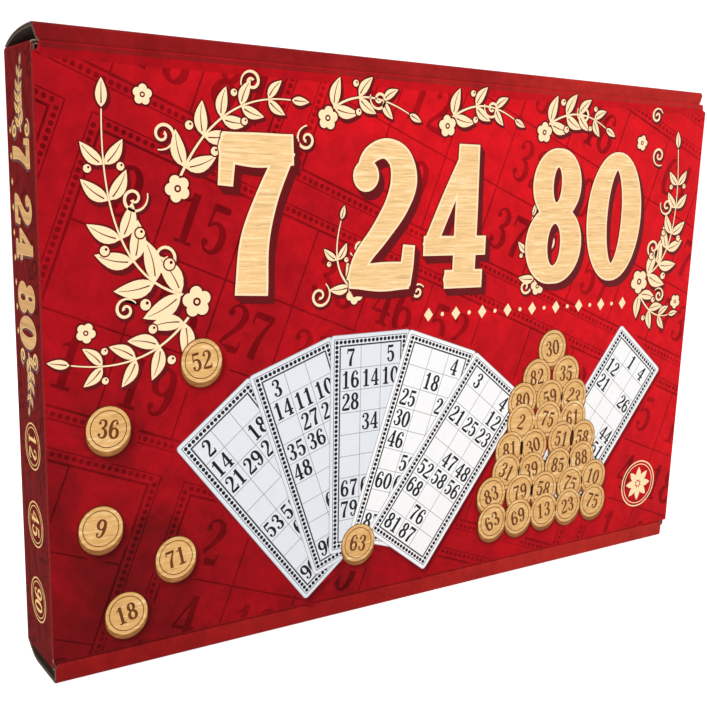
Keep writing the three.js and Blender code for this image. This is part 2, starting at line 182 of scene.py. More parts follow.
class Board:
    """A folded board. Its outer face follows a path of points in a section plane, and runs gives the
    places of the board's columns across the section, for all points or for each."""

    def __init__(self, path, runs, inward, place, drop=None):
        self.path = np.array(path, float)
        legs = np.diff(self.path, axis=0)
        lengths = np.linalg.norm(legs, axis=1)
        self.at = np.concatenate([[0], np.cumsum(lengths)])
        normals = inward * np.stack([-legs[:, 1], legs[:, 0]], 1) / lengths[:, None]
        mitres = normals[:-1] + normals[1:]
        mitres /= np.linalg.norm(mitres, axis=1)[:, None]
        mitres /= (mitres * normals[1:]).sum(1)[:, None]
        self.normals = np.concatenate([normals[:1], mitres, normals[-1:]])
        runs = np.array(runs, float)
        self.runs = np.broadcast_to(runs, (len(path), runs.shape[-1]))
        self.place = place
        self.drop = drop

    def layer(self, at, depth):
        """The grid of points at a depth under the outer face."""
        blend = lambda table: np.stack([np.interp(at, self.at, column) for column in table.T], 1)
        points = blend(self.path) + blend(self.normals) * np.reshape(depth, (-1, 1))
        return np.stack([self.place(*points.T, run) for run in blend(self.runs).T], 1)

    def sheet(self, at, near, far):
        """One paper of the board, as a closed skin without the cells that drop names."""
        middles = (at[:-1] + at[1:]) / 2
        columns = range(self.runs.shape[1] - 1)
        keep = np.array([[not (self.drop and self.drop(s, j)) for j in columns] for s in middles])
        return skin(self.layer(at, near), self.layer(at, far), keep)

    def build(self, name, materials):
        """The board in four materials: print, edge, inner liner and flute."""
        shells = Shells()
        for near, far, index in ((0, OUTER_LINER, (0, 1, 1)), (BOARD - INNER_LINER, BOARD, (1, 2, 1))):
            shell, kinds = self.sheet(self.at, near, far)
            shells.add(shell, [index[kind] for kind in kinds])
        fine = np.concatenate([np.arange(0, self.at[-1], FLUTE_PITCH / FLUTE_STEPS), self.at])
        fine = np.unique(np.round(fine, 4))
        fine = fine[np.concatenate([[True], np.diff(fine) > 0.02])]
        room = (BOARD - OUTER_LINER - INNER_LINER) / 2
        swing = room - FLUTE_SHEET / 2
        wave = OUTER_LINER + room + swing * np.cos(2 * math.pi * fine / FLUTE_PITCH)
        shells.add(self.sheet(fine, wave - FLUTE_SHEET / 2, wave + FLUTE_SHEET / 2)[0], 3)
        return shells.object(name, materials)


def repaint(ob, old, new, where):
    """Gives faces of some materials another one, where their middles pass a test."""
    for face in ob.data.polygons:
        if face.material_index in old and where(face.center / MM):
            face.material_index = new
    return ob


# Materials
def lin(color):
    """A 0 to 255 screen colour as the linear values that shaders take."""
    shares = [value / 255 for value in color]
    return (*(c / 12.92 if c <= 0.04045 else ((c + 0.055) / 1.055) ** 2.4 for c in shares), 1.0)


class Shade:
    """A material with one Principled shader, and short calls for its nodes."""

    def __init__(self, name, roughness=0.5, specular=0.5, sheen=0.0):
        self.material = bpy.data.materials.new(name)
        self.material.use_nodes = True
        self.tree = self.material.node_tree
        shader = next(n for n in self.tree.nodes if n.type == "BSDF_PRINCIPLED")
        self.sockets = shader.inputs
        self.sockets["Roughness"].default_value = roughness
        self.sockets["Specular IOR Level"].default_value = specular
        if sheen:
            self.sockets["Sheen Weight"].default_value = sheen
            self.sockets["Sheen Roughness"].default_value = 0.4

    @functools.cached_property
    def flat(self):
        return self.place()

    def node(self, kind, inputs=(), **settings):
        """A new node with some of its input sockets fed, by name or number."""
        made = self.tree.nodes.new("ShaderNode" + kind)
        for key, value in settings.items():
            setattr(made, key, value)
        for key, value in dict(inputs).items():
            self.feed(made.inputs[key], value)
        return made.outputs[0]

    def feed(self, socket, value):
        if isinstance(value, bpy.types.NodeSocket):
            self.tree.links.new(value, socket)
        else:
            socket.default_value = value[:3] if socket.type == "VECTOR" else value

    def place(self, scale=(1, 1, 1), turn=(0, 0, 0)):
        where = self.tree.nodes.new("ShaderNodeTexCoord").outputs["Object"]
        return self.node("Mapping", {"Vector": where, "Scale": scale, "Rotation": turn})

    def axis(self, letter):
        split = self.tree.nodes.new("ShaderNodeSeparateXYZ")
        self.feed(split.inputs[0], self.flat)
        return split.outputs[letter]

    def noise(self, scale, detail=3.0, rough=0.5, distortion=0.0, vector=None):
        return self.node("TexNoise", {"Vector": vector or self.flat, "Scale": scale, "Detail": detail,
                                      "Roughness": rough, "Distortion": distortion})

    def math(self, operation, *values, clamp=False):
        return self.node("Math", enumerate(values), operation=operation, use_clamp=clamp)

    def fit(self, value, gain, base, clamp=False):
        return self.math("MULTIPLY_ADD", value, gain, base, clamp=clamp)

    def times(self, a, b):
        return self.math("MULTIPLY", a, b)

    def ramp(self, factor, places, colors):
        made = self.tree.nodes.new("ShaderNodeValToRGB")
        made.color_ramp.interpolation = "EASE"
        points = made.color_ramp.elements
        while len(points) < len(places):
            points.new(0.5)
        for point, place, color in zip(points, places, colors):
            point.position = place
            point.color = lin(color)
        self.feed(made.inputs[0], factor)
        return made.outputs[0]

    def bump(self, height, distance, strength):
        bump = self.node("Bump", {"Strength": strength, "Distance": distance, "Height": height})
        self.feed(self.sockets["Normal"], bump)

    def print_grain(self):
        self.bump(self.noise(1500, 2.0), 0.00006, 0.35)

    def done(self, color, factor=None):
        """Sets the base colour: a socket or a screen colour, times a factor."""
        if not isinstance(color, bpy.types.NodeSocket):
            color = lin(color)
        if factor is not None:
            color = self.node("VectorMath", {0: color, "Scale": factor}, operation="SCALE")
        self.feed(self.sockets["Base Color"], color)
        return self.material


def printed_red(name, reds, gloom=1.0, patchy=0.0, streaks=False, shaded=False, lean=(1.3, 1.5), gloss=0.03):
    """Satin print on the board: a mottled red that brightens along X and Z by lean."""
    s = Shade(name, roughness=0.5, specular=gloss)
    rise = s.fit(s.axis("X"), lean[0], 0.5)
    rise = s.math("MULTIPLY_ADD", s.math("SUBTRACT", s.axis("Z"), HEIGHT / 2 * MM), lean[1], rise)
    clouds = s.noise(26, 4.0, 0.6, 0.6)
    rise = s.math("MULTIPLY_ADD", s.math("SUBTRACT", clouds, 0.5), 0.55, rise)
    if streaks:
        factor = s.fit(s.noise(240, 5.0, 0.68, 0.8, s.place((1, 1, 0.16))), 1.5, 0.25)
    else:
        factor = s.fit(s.noise(120, 6.0, 0.7, 0.4), 0.95, 0.52)
    factor = s.times(factor, s.fit(s.noise(900, 2.0, 0.6), 0.16, 0.92))
    if gloom != 1.0:
        factor = s.times(factor, s.fit(clouds, patchy, gloom))
    if shaded:
        shade = s.tree.nodes.new("ShaderNodeAttribute")
        shade.attribute_name = "shade"
        factor = s.times(factor, s.fit(shade.outputs["Fac"], -0.72, 1.0))
    s.print_grain()
    return s.done(s.ramp(rise, (0.08, 0.38, 0.72), reds), factor)


def plain_print(name, color, variation=0.1):
    """One printed ink, with a little unevenness."""
    s = Shade(name, roughness=0.42, specular=0.08)
    s.print_grain()
    return s.done(color, s.fit(s.noise(300, 4.0, 0.6), 2 * variation, 1 - variation))


def wood_print(name, light, dark, stretch, scale, roughness=0.42, bump=0.0, specular=0.08):
    """Pale wood grain: streaks with slow waves."""
    s = Shade(name, roughness=roughness, specular=specular)
    wide = s.noise(scale, 4.0, 0.55, 1.1, s.place(stretch))
    fine = s.noise(scale, 3.0, 0.6, 0.3, s.place([4 * v for v in stretch]))
    streak = s.math("MULTIPLY_ADD", fine, 0.45, s.times(wide, 0.75))
    if bump:
        s.bump(streak, bump, 0.6)
    return s.done(s.ramp(streak, (0.38, 0.62, 0.82), (light, dark, [c * 0.86 for c in dark])))


def board_paper(name, color, speck=0.12, painted_shade_ends=False):
    """Bare paper of the board: fibres and specks, and painted shade towards the open ends of a hollow wall.
    """
    s = Shade(name, roughness=0.92, specular=0.2)
    fibres = s.noise(330, 5.0, 0.7, 1.2, s.place((1, 1, 5)))
    factor = s.fit(fibres, 2 * speck, 1 - speck)
    factor = s.times(factor, s.fit(s.noise(1400, 2.0, 0.7), speck, 1 - speck / 2))
    if painted_shade_ends:
        # painted shade: the paper darkens over about the last 48 mm before the hollow's open ends
        inward = s.math("SUBTRACT", HOLLOW_END * MM, s.math("ABSOLUTE", s.axis("X")))
        factor = s.times(factor, s.fit(inward, 18, 0.14, clamp=True))
    s.bump(fibres, 0.00012, 0.5)
    return s.done(color, factor)


def card_paper():
    """Coated white card: a cool white with faint clouds and fibres."""
    s = Shade("card_paper_white", roughness=0.55, specular=0.2)
    clouds = s.fit(s.noise(40), 0.1, 0.92)
    fibres = s.fit(s.noise(420, 4.0, 0.7, 1.0, s.place((1, 1, 6))), 0.1, 0.95)
    s.bump(s.noise(1200, 2.0), 0.00008, 0.4)
    return s.done((232, 233, 234), s.times(clouds, fibres))


def cloth(name, color, thread=0.55, bump=0.00022):
    """A plain weave of uneven threads, which waver a little."""
    s = Shade(name, roughness=0.95, specular=0.15, sheen=0.25)
    waver = s.times(s.noise(160, 2.0), 0.0016)
    warp, weft = (s.math("SINE", s.times(s.math("ADD", s.axis(letter), waver), 2 * math.pi / (thread * MM)))
                  for letter in "XZ")
    weave = s.times(warp, weft)
    slubs = s.math("ADD", *(s.noise(60, 2.0, vector=s.place(long)) for long in ((18, 18, 1), (1, 1, 18))))
    s.bump(s.math("MULTIPLY_ADD", weave, 0.5, slubs), bump, 0.8)
    factor = s.math("MULTIPLY_ADD", weave, 0.07, s.fit(slubs, 0.28, 0.6))
    return s.done(color, s.times(factor, s.fit(s.noise(45), 0.3, 0.98)))


# The box's sizes, from the model
(_, FRONT, _), (HALF, BACK, HEIGHT) = corners(cad_bounds).tolist()
(_, _, LOWER_FOLD), (INNER_X, _, UPPER_FOLD) = corners(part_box("back_panel")).tolist()
(WALL_LEFT, _, _), (WALL_RIGHT, _, RIM) = corners(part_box("foot_wall")).tolist()
LID_BOTTOM = corners(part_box("lid_panel")).tolist()[0][2]
HOLLOW_END = 182.0

LID_REDS = [(102, 14, 17), (162, 14, 24), (205, 17, 27)]
BAND_REDS = [(110, 18, 20), (134, 22, 24), (173, 36, 31)]
FOOT_REDS = [(104, 19, 20), (146, 25, 25), (172, 40, 34)]
SIDE_REDS = [(104, 20, 19), (121, 23, 22), (129, 25, 25)]
BACK_REDS = [(130, 16, 22), (170, 20, 28), (204, 24, 32)]
SIDE_LOOK = {"streaks": True, "lean": (0, 1.2), "gloss": 0.004}
lid_red = printed_red("lid_print_red", LID_REDS)
lid_faint = printed_red("lid_print_faint", LID_REDS, gloom=0.12, patchy=0.76)
lid_shadow = printed_red("lid_print_shadow", LID_REDS, shaded=True)
# a darker copy of the lid red: painted shade where the lid bends below the crease
painted_bend_shade = printed_red("lid_painted_bend_shade", LID_REDS, gloom=0.8)
band_red = printed_red("band_print_red", BAND_REDS, lean=(1.4, 0))
band_tone = printed_red("lid_band_tone", BAND_REDS, lean=(1.4, 0))
foot_red = printed_red("foot_print_red", FOOT_REDS, lean=(1.4, 0))
side_red = printed_red("side_print_red", SIDE_REDS, **SIDE_LOOK)
side_faint = printed_red("side_print_faint", SIDE_REDS, gloom=0.6, **SIDE_LOOK)
back_red = printed_red("back_print_red", BACK_REDS)
back_faint = printed_red("back_print_faint", BACK_REDS, gloom=0.55)

liner_edge = board_paper("liner_edge_paper", (192, 182, 170), 0.08)
kraft = board_paper("inner_liner_paper", (160, 143, 122))
flute_paper = board_paper("flute_paper", (150, 128, 104), 0.16)
lid_edge = board_paper("lid_edge_paper", (166, 46, 42), 0.14)
lid_flute = board_paper("lid_flute_paper", (112, 36, 32), 0.16)
hollow_paper = board_paper("hollow_paper", (160, 143, 122), painted_shade_ends=True)
hollow_edge = board_paper("hollow_edge_paper", (128, 108, 98))
corner_edge = board_paper("corner_edge_paper", (160, 143, 124))
corner_flute = board_paper("corner_flute_paper", (104, 88, 78), 0.16)
RAW = [liner_edge, kraft, flute_paper]
HOLLOW = [hollow_edge, hollow_paper, corner_flute]

# Points in a section of the box
along_x = lambda y, z, x: np.stack([x, y, z], -1)
along_y = lambda x, z, y: np.stack([x, y, z], -1)
along_z = lambda x, y, z: np.stack([x, y, z], -1)


def arc(cx, cy, radius, start, end, steps):
    """Points on a circle from one angle to another, in degrees."""
    turns = np.radians(np.linspace(start, end, steps + 1))
    return [(cx + radius * math.cos(t), cy + radius * math.sin(t)) for t in turns]


def quad_curve(a, b, c, steps):
    t = np.linspace(0, 1, steps + 1)[:, None]
    a, b, c = np.array([a, b, c], float)
    return [tuple(p) for p in (1 - t) ** 2 * a + 2 * t * (1 - t) * b + t ** 2 * c]


# The box's tray
SEAM = 0.3
WALL_END = BACK - BOARD - SEAM
CORNER, WALL_SLANT = 1.3, 1.3
FOLD_STRIP = 1.2
SLOT_X = (-110.5, -79.5, 79.5, 110.5)
SLOT_Z = (6.7, 8.8)
RIDGE = 1.8
FOOT_REACH, FOOT_RISE, HINGE_REACH = 6.5, 12.0, 10.5
ROLL, ROLL_START = 1.0, RIM - 2.2
ROLLED_X = corners(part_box("inner_foot_wall"))[1][0]
ROLLED_Y = (-15.5, WALL_END)
TAB_X, TAB_TIP, TAB_TAPER = (-110, -80, 80, 110), BACK - SEAM, 1.5
FLAP_LENGTH, FLAP_TAPER, FLAP_ROUND = 46.0, 2.5, 6.0
BLEED = 9.0


def tray_wrap():
    """Both short walls and the back panel, in one board with two upright creases and two slots."""
    path = [(-HALF, -WALL_END), *arc(CORNER - HALF, BACK - CORNER, CORNER, 180, 90, 5)]
    first_slot = len(path)
    path += [(x, BACK) for x in SLOT_X]
    path += [*arc(HALF - CORNER, BACK - CORNER, CORNER, 90, 0, 5), (HALF, -WALL_END)]
    board = Board(path, [LOWER_FOLD + FOLD_STRIP, *SLOT_Z, UPPER_FOLD - FOLD_STRIP], -1, along_z)
    slots = board.at[first_slot:first_slot + 4]
    board.drop = lambda s, j: j == 1 and (slots[0] < s < slots[1] or slots[2] < s < slots[3])
    wrap = board.build("tray_wrap", [side_red, lid_edge, kraft, corner_flute, back_red])
    repaint(wrap, [0], 4, lambda middle: middle.y > BACK - CORNER * 0.6)
    dress(wrap, "tray", "printed_board", "back_panel", "side_wall_left", "side_wall_right")


def end_flap(side, upper):
    """A short wall's corner flap, with the fold that joins it to the wall."""
    fold, up = (UPPER_FOLD, -1) if upper else (LOWER_FOLD, 1)
    path = [(x, FOLD_STRIP - rise) for x, rise in arc(HALF - FOLD_STRIP, 0, FOLD_STRIP, 0, 90, 4)]
    runs = [[-WALL_END, BACK - CORNER]] * 4 + [[-WALL_END, WALL_END]]
    outline = [(INNER_X, 0.0), (INNER_X - BLEED, FLAP_TAPER * BLEED / (FLAP_LENGTH - FLAP_ROUND))]
    outline += [(INNER_X - FLAP_LENGTH + FLAP_ROUND * (1 - t) ** 2, FLAP_TAPER + FLAP_ROUND * t ** 2)
                for t in np.linspace(0, 1, 5)]
    path += [(x, 0.0) for x, inset in outline]
    runs += [[inset - WALL_END, WALL_END - inset] for x, inset in outline]
    board = Board([(side * x, fold + up * rise) for x, rise in path], runs, -up * side, along_y)
    place = ("upper_" if upper else "lower_") + ("right" if side > 0 else "left")
    flap = board.build("end_flap_" + place, [side_red, corner_edge, kraft, corner_flute])
    repaint(flap, [0], 1, lambda middle: abs(middle.x) < INNER_X - BLEED)
    dress(flap, "tray", "raw_board", "corner_flap_" + place)


def foot_and_inner_wall():
    """The foot wall bows down from the back crease, turns up as the rim and rolls in as the inner wall,
    whose tabs lock in the back panel's slots."""
    bow = quad_curve((BACK, LOWER_FOLD - SEAM), (BACK - FOOT_REACH, 0), (BACK - FOOT_RISE, 0), 10)
    ridge = arc(FRONT + RIDGE, RIDGE, RIDGE, -90, -180, 6)
    roll = arc(FRONT + ROLL, RIM - ROLL, ROLL, 180, 90, 5)
    path = [(BACK, LOWER_FOLD), *bow, *ridge, (FRONT, ROLL_START), *roll]
    ends = []
    for y, z in path:
        slant = max(0.0, (z - ROLL_START) / (RIM - ROLL_START)) ** 2 if y <= FRONT + ROLL else 0.0
        ends.append((WALL_LEFT + WALL_SLANT * slant, WALL_RIGHT - slant))
    ends[-1] = (-ROLLED_X, WALL_RIGHT - 1)
    first, last = ROLLED_Y
    for y in (first - 0.1, first, last - 1, last - 0.01, last, TAB_TIP):
        path.append((y, RIM))
        ends.append((-ROLLED_X, ROLLED_X if y >= first else WALL_RIGHT - 0.4))
    runs = [[left, *TAB_X, right] for left, right in ends]
    runs[-1][1:5] = [x + TAB_TAPER * taper for x, taper in zip(TAB_X, (1, -1, 1, -1))]
    board = Board(path, runs, -1, along_x)
    tabs_start = board.at[-2] - 0.001
    board.drop = lambda s, j: s > tabs_start and j in (0, 2, 4)
    foot = board.build("foot_and_inner_wall", [foot_red] + HOLLOW)
    repaint(foot, [0], 1, lambda middle: middle.z > RIM - 0.3 and middle.y > FRONT + 1.1)
    dress(foot, "tray", "printed_board", "foot_wall", "inner_foot_wall")


# The box's lid
LID_TOP, BAND_FOOT = UPPER_FOLD - 0.5, UPPER_FOLD + 0.8
LID_FOOT = LID_BOTTOM + 1.7
NOTCH_DEPTH, NOTCH_HEIGHT = 2.6, 3.4
BAND_CUT = WALL_SLANT * (HEIGHT - RIDGE - BAND_FOOT) / 4.2
FLAP_TILT = math.radians(5)
FLAP_ROOT, FLAP_START, FLAP_REACH = INNER_X - 2, BOARD + 0.5, BOARD + 20.0
BACK_CREASE_TOP = (BACK - 0.55, UPPER_FOLD + 0.42)


def flap_point(out, depth=0.0):
    """A point on the tuck flap's section, out from the lid and at a depth in the board."""
    cosine, sine = math.cos(FLAP_TILT), math.sin(FLAP_TILT)
    return FRONT + out * cosine - depth * sine, LID_BOTTOM + out * sine + depth * cosine


def hinge_wall():
    """The hinge wall bows up from the back crease to the ridge and comes down as the lid's band."""
    path = quad_curve(BACK_CREASE_TOP, (BACK - HINGE_REACH, HEIGHT), (FRONT + RIDGE, HEIGHT), 12)
    path += [*arc(FRONT + RIDGE, HEIGHT - RIDGE, RIDGE, 90, 180, 7)[1:], (FRONT, BAND_FOOT)]
    runs = [[WALL_LEFT, WALL_RIGHT]] * len(path)
    runs[-1] = [WALL_LEFT + BAND_CUT, WALL_RIGHT - BAND_CUT]
    wall = Board(path, runs, 1, along_x).build("hinge_wall_board", [band_red] + HOLLOW)
    dress(wall, "hinge_wall", "printed_board_dark", "hinge_wall")


def lid_board():
    """The lid panel, whose upper corners are cut away in a curve."""
    steps = np.linspace(1, 0, 7)
    path = [(FRONT, LID_TOP - NOTCH_HEIGHT * (1 - t ** 2)) for t in steps] + [(FRONT, LID_FOOT)]
    ends = [HALF - NOTCH_DEPTH * (1 - (1 - t) ** 2) for t in steps] + [HALF]
    board = Board(path, [[-end, end] for end in ends], 1, along_x)
    lid = board.build("lid_board", [lid_red, lid_edge, kraft, lid_flute])
    repaint(lid, [1, 2, 3], 2, lambda middle: middle.z < LID_FOOT + 0.05)
    dress(lid, "lid", "printed_board", "lid_panel")


def flap_board():
    """The tuck flap, from its fold to its rounded edge."""
    taper, round_off = 8.0, 8.0
    tip, turn = FLAP_ROOT - taper, FLAP_REACH - round_off
    shoulder = tip + taper * round_off / (FLAP_REACH - BOARD)
    outline = [(FLAP_START, FLAP_ROOT)]
    outline += quad_curve((turn, shoulder), (FLAP_REACH, tip), (FLAP_REACH, tip - round_off), 6)
    path = [flap_point(out) for out, end in outline]
    board = Board(path, [[-end, end] for out, end in outline], 1, along_x)
    flap = board.build("tuck_flap_board", [kraft] + RAW)
    repaint(flap, range(4), 2, lambda middle: middle.y < FRONT + FLAP_START + 0.05)
    dress(flap, "tuck_flap", "raw_board", "tuck_flap")


def crease(name, outer, inner, runs, ink):
    """A full board thickness at a fold between two bodies. Its outer and inner lines have matching
    points, and a run across the box for each."""
    grid = lambda line: np.array([[(x, *point) for x in run] for point, run in zip(line, runs)])
    shell, kinds = skin(grid(outer), grid(inner), np.ones((len(runs) - 1, 1), bool))
    ob = to_object(name, *shell, [ink, kraft], [(0, 1, 1)[kind] for kind in kinds])
    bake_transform(ob)


def creases():
    """The three hinge folds: back panel to hinge wall, band to lid, and lid to tuck flap."""
    low = UPPER_FOLD - FOLD_STRIP
    outer = [(BACK, low), (BACK, UPPER_FOLD - 0.3), (BACK - 0.2, UPPER_FOLD + 0.15), BACK_CREASE_TOP]
    inner = [(BACK - depth, low + rise)
             for depth, rise in zip((BOARD, BOARD, 1.4, 1.33), (0, 0.1, 0.2, 0.32))]
    crease("crease_back", outer, inner, [[-INNER_X, WALL_RIGHT]] * 4,
           back_red)

    heights = [BAND_FOOT, UPPER_FOLD + 0.35, UPPER_FOLD, UPPER_FOLD - 0.25, LID_TOP]
    outer = [(FRONT + dent, z) for z, dent in zip(heights, (0, 0.12, 0.3, 0.12, 0))]
    lid_end, left, right = HALF - NOTCH_DEPTH, WALL_LEFT + WALL_SLANT, WALL_RIGHT - WALL_SLANT
    runs = [[left, right]] * 2 + [[-lid_end, right]] * 2 + [[-lid_end, lid_end]]
    crease("crease_lid", outer, [(FRONT + BOARD, z) for z in heights], runs,
           band_red)

    bend = 0.8
    outer = [(FRONT, LID_FOOT), (FRONT, LID_BOTTOM + bend + 0.1),
             *arc(FRONT + bend, LID_BOTTOM + bend, bend, 180, 270, 4), flap_point(FLAP_START)]
    corner = np.array([FRONT + BOARD + 0.05, LID_FOOT - 0.04])
    inner = [(FRONT + BOARD, LID_FOOT), *(corner + (0.004 * k, 0.002 * k) for k in range(1, len(outer) - 1)),
             flap_point(FLAP_START, BOARD)]
    runs = [[-HALF, HALF]] * (len(outer) - 2) + [[1 - HALF, HALF - 1], [-FLAP_ROOT, FLAP_ROOT]]
    crease("crease_flap", outer, inner, runs,
           lid_red)


tray_wrap()
for flap_side in (-1, 1):
    for is_upper in (False, True):
        end_flap(flap_side, is_upper)
foot_and_inner_wall()
hinge_wall()
lid_board()
flap_board()
creases()


# Lines and tubes
def walked(line):
    """The distance along a line to each of its points."""
    return np.concatenate([[0], np.cumsum(np.linalg.norm(np.diff(line, axis=0), axis=1))])


def smooth_line(points, per_span=6):
    """A curve through the points, with steps that follow their spacing."""
    points = np.array(points, float)
    guides = np.concatenate([[2 * points[0] - points[1]], points, [2 * points[-1] - points[-2]]])
    between = lambda a, b, start, end, t: ((end - t) * a + (t - start) * b) / (end - start)
    out = []
    for i in range(len(points) - 1):
        p = guides[i:i + 4]
        gaps = np.maximum(np.linalg.norm(np.diff(p, axis=0), axis=1), 1e-6) ** 0.5
        knots = [0, *np.cumsum(gaps)]
        for t in np.linspace(knots[1], knots[2], per_span, endpoint=False):
            a = [between(p[k], p[k + 1], knots[k], knots[k + 1], t) for k in range(3)]
            b = [between(a[k], a[k + 1], knots[k], knots[k + 2], t) for k in range(2)]
            out.append(between(*b, knots[1], knots[2], t))
    return np.array(out + [points[-1]])


def even(line, step):
    """The same line in even steps."""
    along = walked(line)
    count = max(2, int(round(along[-1] / step)) + 1)
    return np.stack([np.interp(np.linspace(0, along[-1], count), along, column) for column in line.T], 1)


def ring_faces(rings, sides, closed=False):
    """Quads between rings of points that follow each other."""
    faces = []
    for i in range(rings if closed else rings - 1):
        j = (i + 1) % rings
        for k in range(sides):
            m = (k + 1) % sides
            faces.append((i * sides + k, i * sides + m, j * sides + m, j * sides + k))
    return faces


def tube(line, radius, sides, twist=0.0, lobe=0.0, closed=False):
    """A tube along a line. With a twist it is a cord of three strands, which turn once in that length."""
    tangents = np.roll(line, -1, 0) - np.roll(line, 1, 0) if closed else np.gradient(line, axis=0)
    tangents /= np.linalg.norm(tangents, axis=1)[:, None]
    side = np.cross(tangents[0], (0, 0, 1) if abs(tangents[0][2]) < 0.9 else (1, 0, 0))
    angles = 2 * math.pi * np.arange(sides) / sides
    verts = []
    for point, tangent, along in zip(line, tangents, walked(line)):
        side = side - tangent * side.dot(tangent)
        side /= np.linalg.norm(side)
        reach = radius * np.ones(sides)
        if twist:
            reach *= 1 - lobe + lobe * np.abs(np.cos(1.5 * (angles - 2 * math.pi * along / twist)))
        cosines, sines = (reach * part(angles) for part in (np.cos, np.sin))
        verts.append(point + np.outer(cosines, side) + np.outer(sines, np.cross(tangent, side)))
    faces = ring_faces(len(line), sides, closed)
    if not closed:
        last = (len(line) - 1) * sides
        faces += [tuple(range(sides))[::-1], tuple(range(last, last + sides))]
    return np.concatenate(verts), faces


# The bag, its cords and its knots
BAG_X, BAG_Y = 92.65, 3.7
BAG_FOOT, BAG_TOP = corners(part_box("bag_pouch"))[:, 2]
BAG_WIDTH, BAG_DEPTH, BAG_HEIGHT = 112.1, 24.0, 98.0
NECK = BAG_FOOT + BAG_HEIGHT
NECK_WIDTH, NECK_DEPTH, NECK_FOLD = 30.0, 14.0, 1.3
FRILL_HEIGHT, FRILL_WIDTH, FRILL_DEPTH = BAG_TOP - NECK, 60.0, 19.0
CORD = 2.2
CORD_ROUTES = {
    "outer": [
        (15.9, -1, 0), (18.6, -1.6, 0.2), (22, -3.8, 0.2), (25.4, -7, -1), (28.8, -10.2, -4),
        (31.6, -12.6, -8.6), (33.4, -13.6, -14), (34.4, -13.8, -20), (34.6, -13.8, -26), (34, -13.8, -32),
        (32.6, -13.8, -38), (30.8, -13.8, -44), (28.8, -13.9, -50), (27.2, -14.3, -56), (26.6, -14.9, -62),
    ],
    "inner": [
        (12, -5.9, 0), (12.8, -8.8, -0.6), (14.4, -11.6, -2.8), (15.8, -13, -6.4), (17, -13.8, -11),
        (17.8, -14, -16), (18.2, -14, -21), (18.2, -14, -26), (18.2, -14, -31), (18.6, -14, -36),
        (19.4, -14, -41), (20.6, -14, -46), (22, -14.1, -51), (23.4, -14.4, -56), (24, -14.9, -62),
    ],
}
KNOT_LENGTH, KNOT_STRAND, KNOT_SCALE = 6.0, 0.62, (0.46, 0.93, 0.567)
TASSEL_LENGTH, TASSEL_THREADS = 8.0, 26
SIDES = {"left": -1, "right": 1}

# The full pouch's share of the bag's height, and its shares of the full width and depth there
PROFILE = [(0, 0.78, 0.42), (0.03, 0.92, 0.74), (0.12, 1, 0.94), (0.3, 0.99, 1), (0.5, 0.93, 1),
           (0.68, 0.8, 0.96), (0.82, 0.6, 0.84), (0.93, 0.38, 0.7),
           (1, NECK_WIDTH / BAG_WIDTH, NECK_DEPTH / BAG_DEPTH)]
BODY = np.concatenate([np.linspace(0, 0.03, 5), np.linspace(0.045, 0.9, 42), np.linspace(0.915, 0.985, 6)])
# The cord channel's roll: heights over the neck's middle, and how far it stands out
CHANNEL = [(-1.2, -0.6), (-0.6, -1.1), (0, -1.4), (0.6, -1.1), (1.2, -0.5), (2, 0.4), (2.8, 0.9), (3.6, 0.4)]
# The frill's shares of its height, and how far it has opened there
FRILL = [(0.2, 0.2), (0.32, 0.48), (0.45, 0.68), (0.58, 0.8), (0.7, 0.88), (0.8, 0.94), (0.86, 0.97),
         (0.9, 0.99), (0.96, 1)]
STITCHED = 5
INSIDE = [(2.5, 2.4), (1.2, 4.4), (0.4, 5.9)]
AROUND = 180
TURN = np.linspace(0, 2 * math.pi, AROUND, endpoint=False)
RIPPLE = 0.55 * np.cos(7 * TURN + 1.0) + 0.45 * np.cos(13 * TURN)

bag_draw = random.Random(5)
LUMPS = [(bag_draw.uniform(-0.85, 0.85), bag_draw.uniform(0.05, 0.62), bag_draw.choice((-1, 1)),
          bag_draw.uniform(0.06, 0.1), bag_draw.uniform(0.5, 1.1)) for _ in range(70)]
GATHERS = [(bag_draw.randint(9, 34), bag_draw.uniform(0, 6.28), bag_draw.uniform(0.35, 1))
           for _ in range(7)]

bag_cloth = cloth("bag_weave", (214, 168, 104))
hem_cloth = cloth("bag_hem", (204, 156, 92))
cord_thread = cloth("cord_fibres", (214, 152, 104), 0.3, 0.0001)
thread_light = cloth("stitch_thread", (232, 206, 160), 0.3, 0.0001)


def bag_point(point):
    """A point given from the middle of the bag's neck."""
    return np.array(point) + (BAG_X, BAG_Y, NECK)


def bag_knot(side_name):
    """An overhand knot of both strands, with the frayed ends under it."""
    side = SIDES[side_name]
    (x1, y, z), (x2, _, _) = (route[-1] for route in CORD_ROUTES.values())
    centre = bag_point((side * (x1 + x2) / 2, y, z - 0.3))
    shells = Shells()
    for lag in (0.0, 0.55):
        t = np.linspace(0, 2 * math.pi, 90, endpoint=False) + lag
        trefoil = np.stack([np.sin(t) + 2 * np.sin(2 * t), -np.sin(3 * t), np.cos(t) - 2 * np.cos(2 * t)], 1)
        line = trefoil * KNOT_SCALE + centre - (0, 0, KNOT_LENGTH / 2)
        shells.add(tube(line, KNOT_STRAND, 8, twist=3, lobe=0.2, closed=True))
    draw = random.Random(11 + side)
    for k in range(TASSEL_THREADS):
        angle = 2 * math.pi * k / TASSEL_THREADS + draw.uniform(-0.1, 0.1)
        radius = 1.1 * math.sqrt(draw.random())
        spread = draw.uniform(1.15, 1.7)
        end = -KNOT_LENGTH - TASSEL_LENGTH * draw.uniform(0.8, 0.995)
        bends = [(1, 0, 1.6 - KNOT_LENGTH), (1.05, 0, -KNOT_LENGTH - 2), (spread, 0.2, end)]
        points = [(radius * grow * math.cos(angle + turn), radius * grow * math.sin(angle + turn), z)
                  for grow, turn, z in bends]
        shells.add(tube(smooth_line(points, 4) + centre, 0.24, 5))
    knot = shells.object("bag_knot_" + side_name + "_tied", [cord_thread], smooth=True)
    return dress(knot, "bag", "bag_cord", "bag_knot_" + side_name)


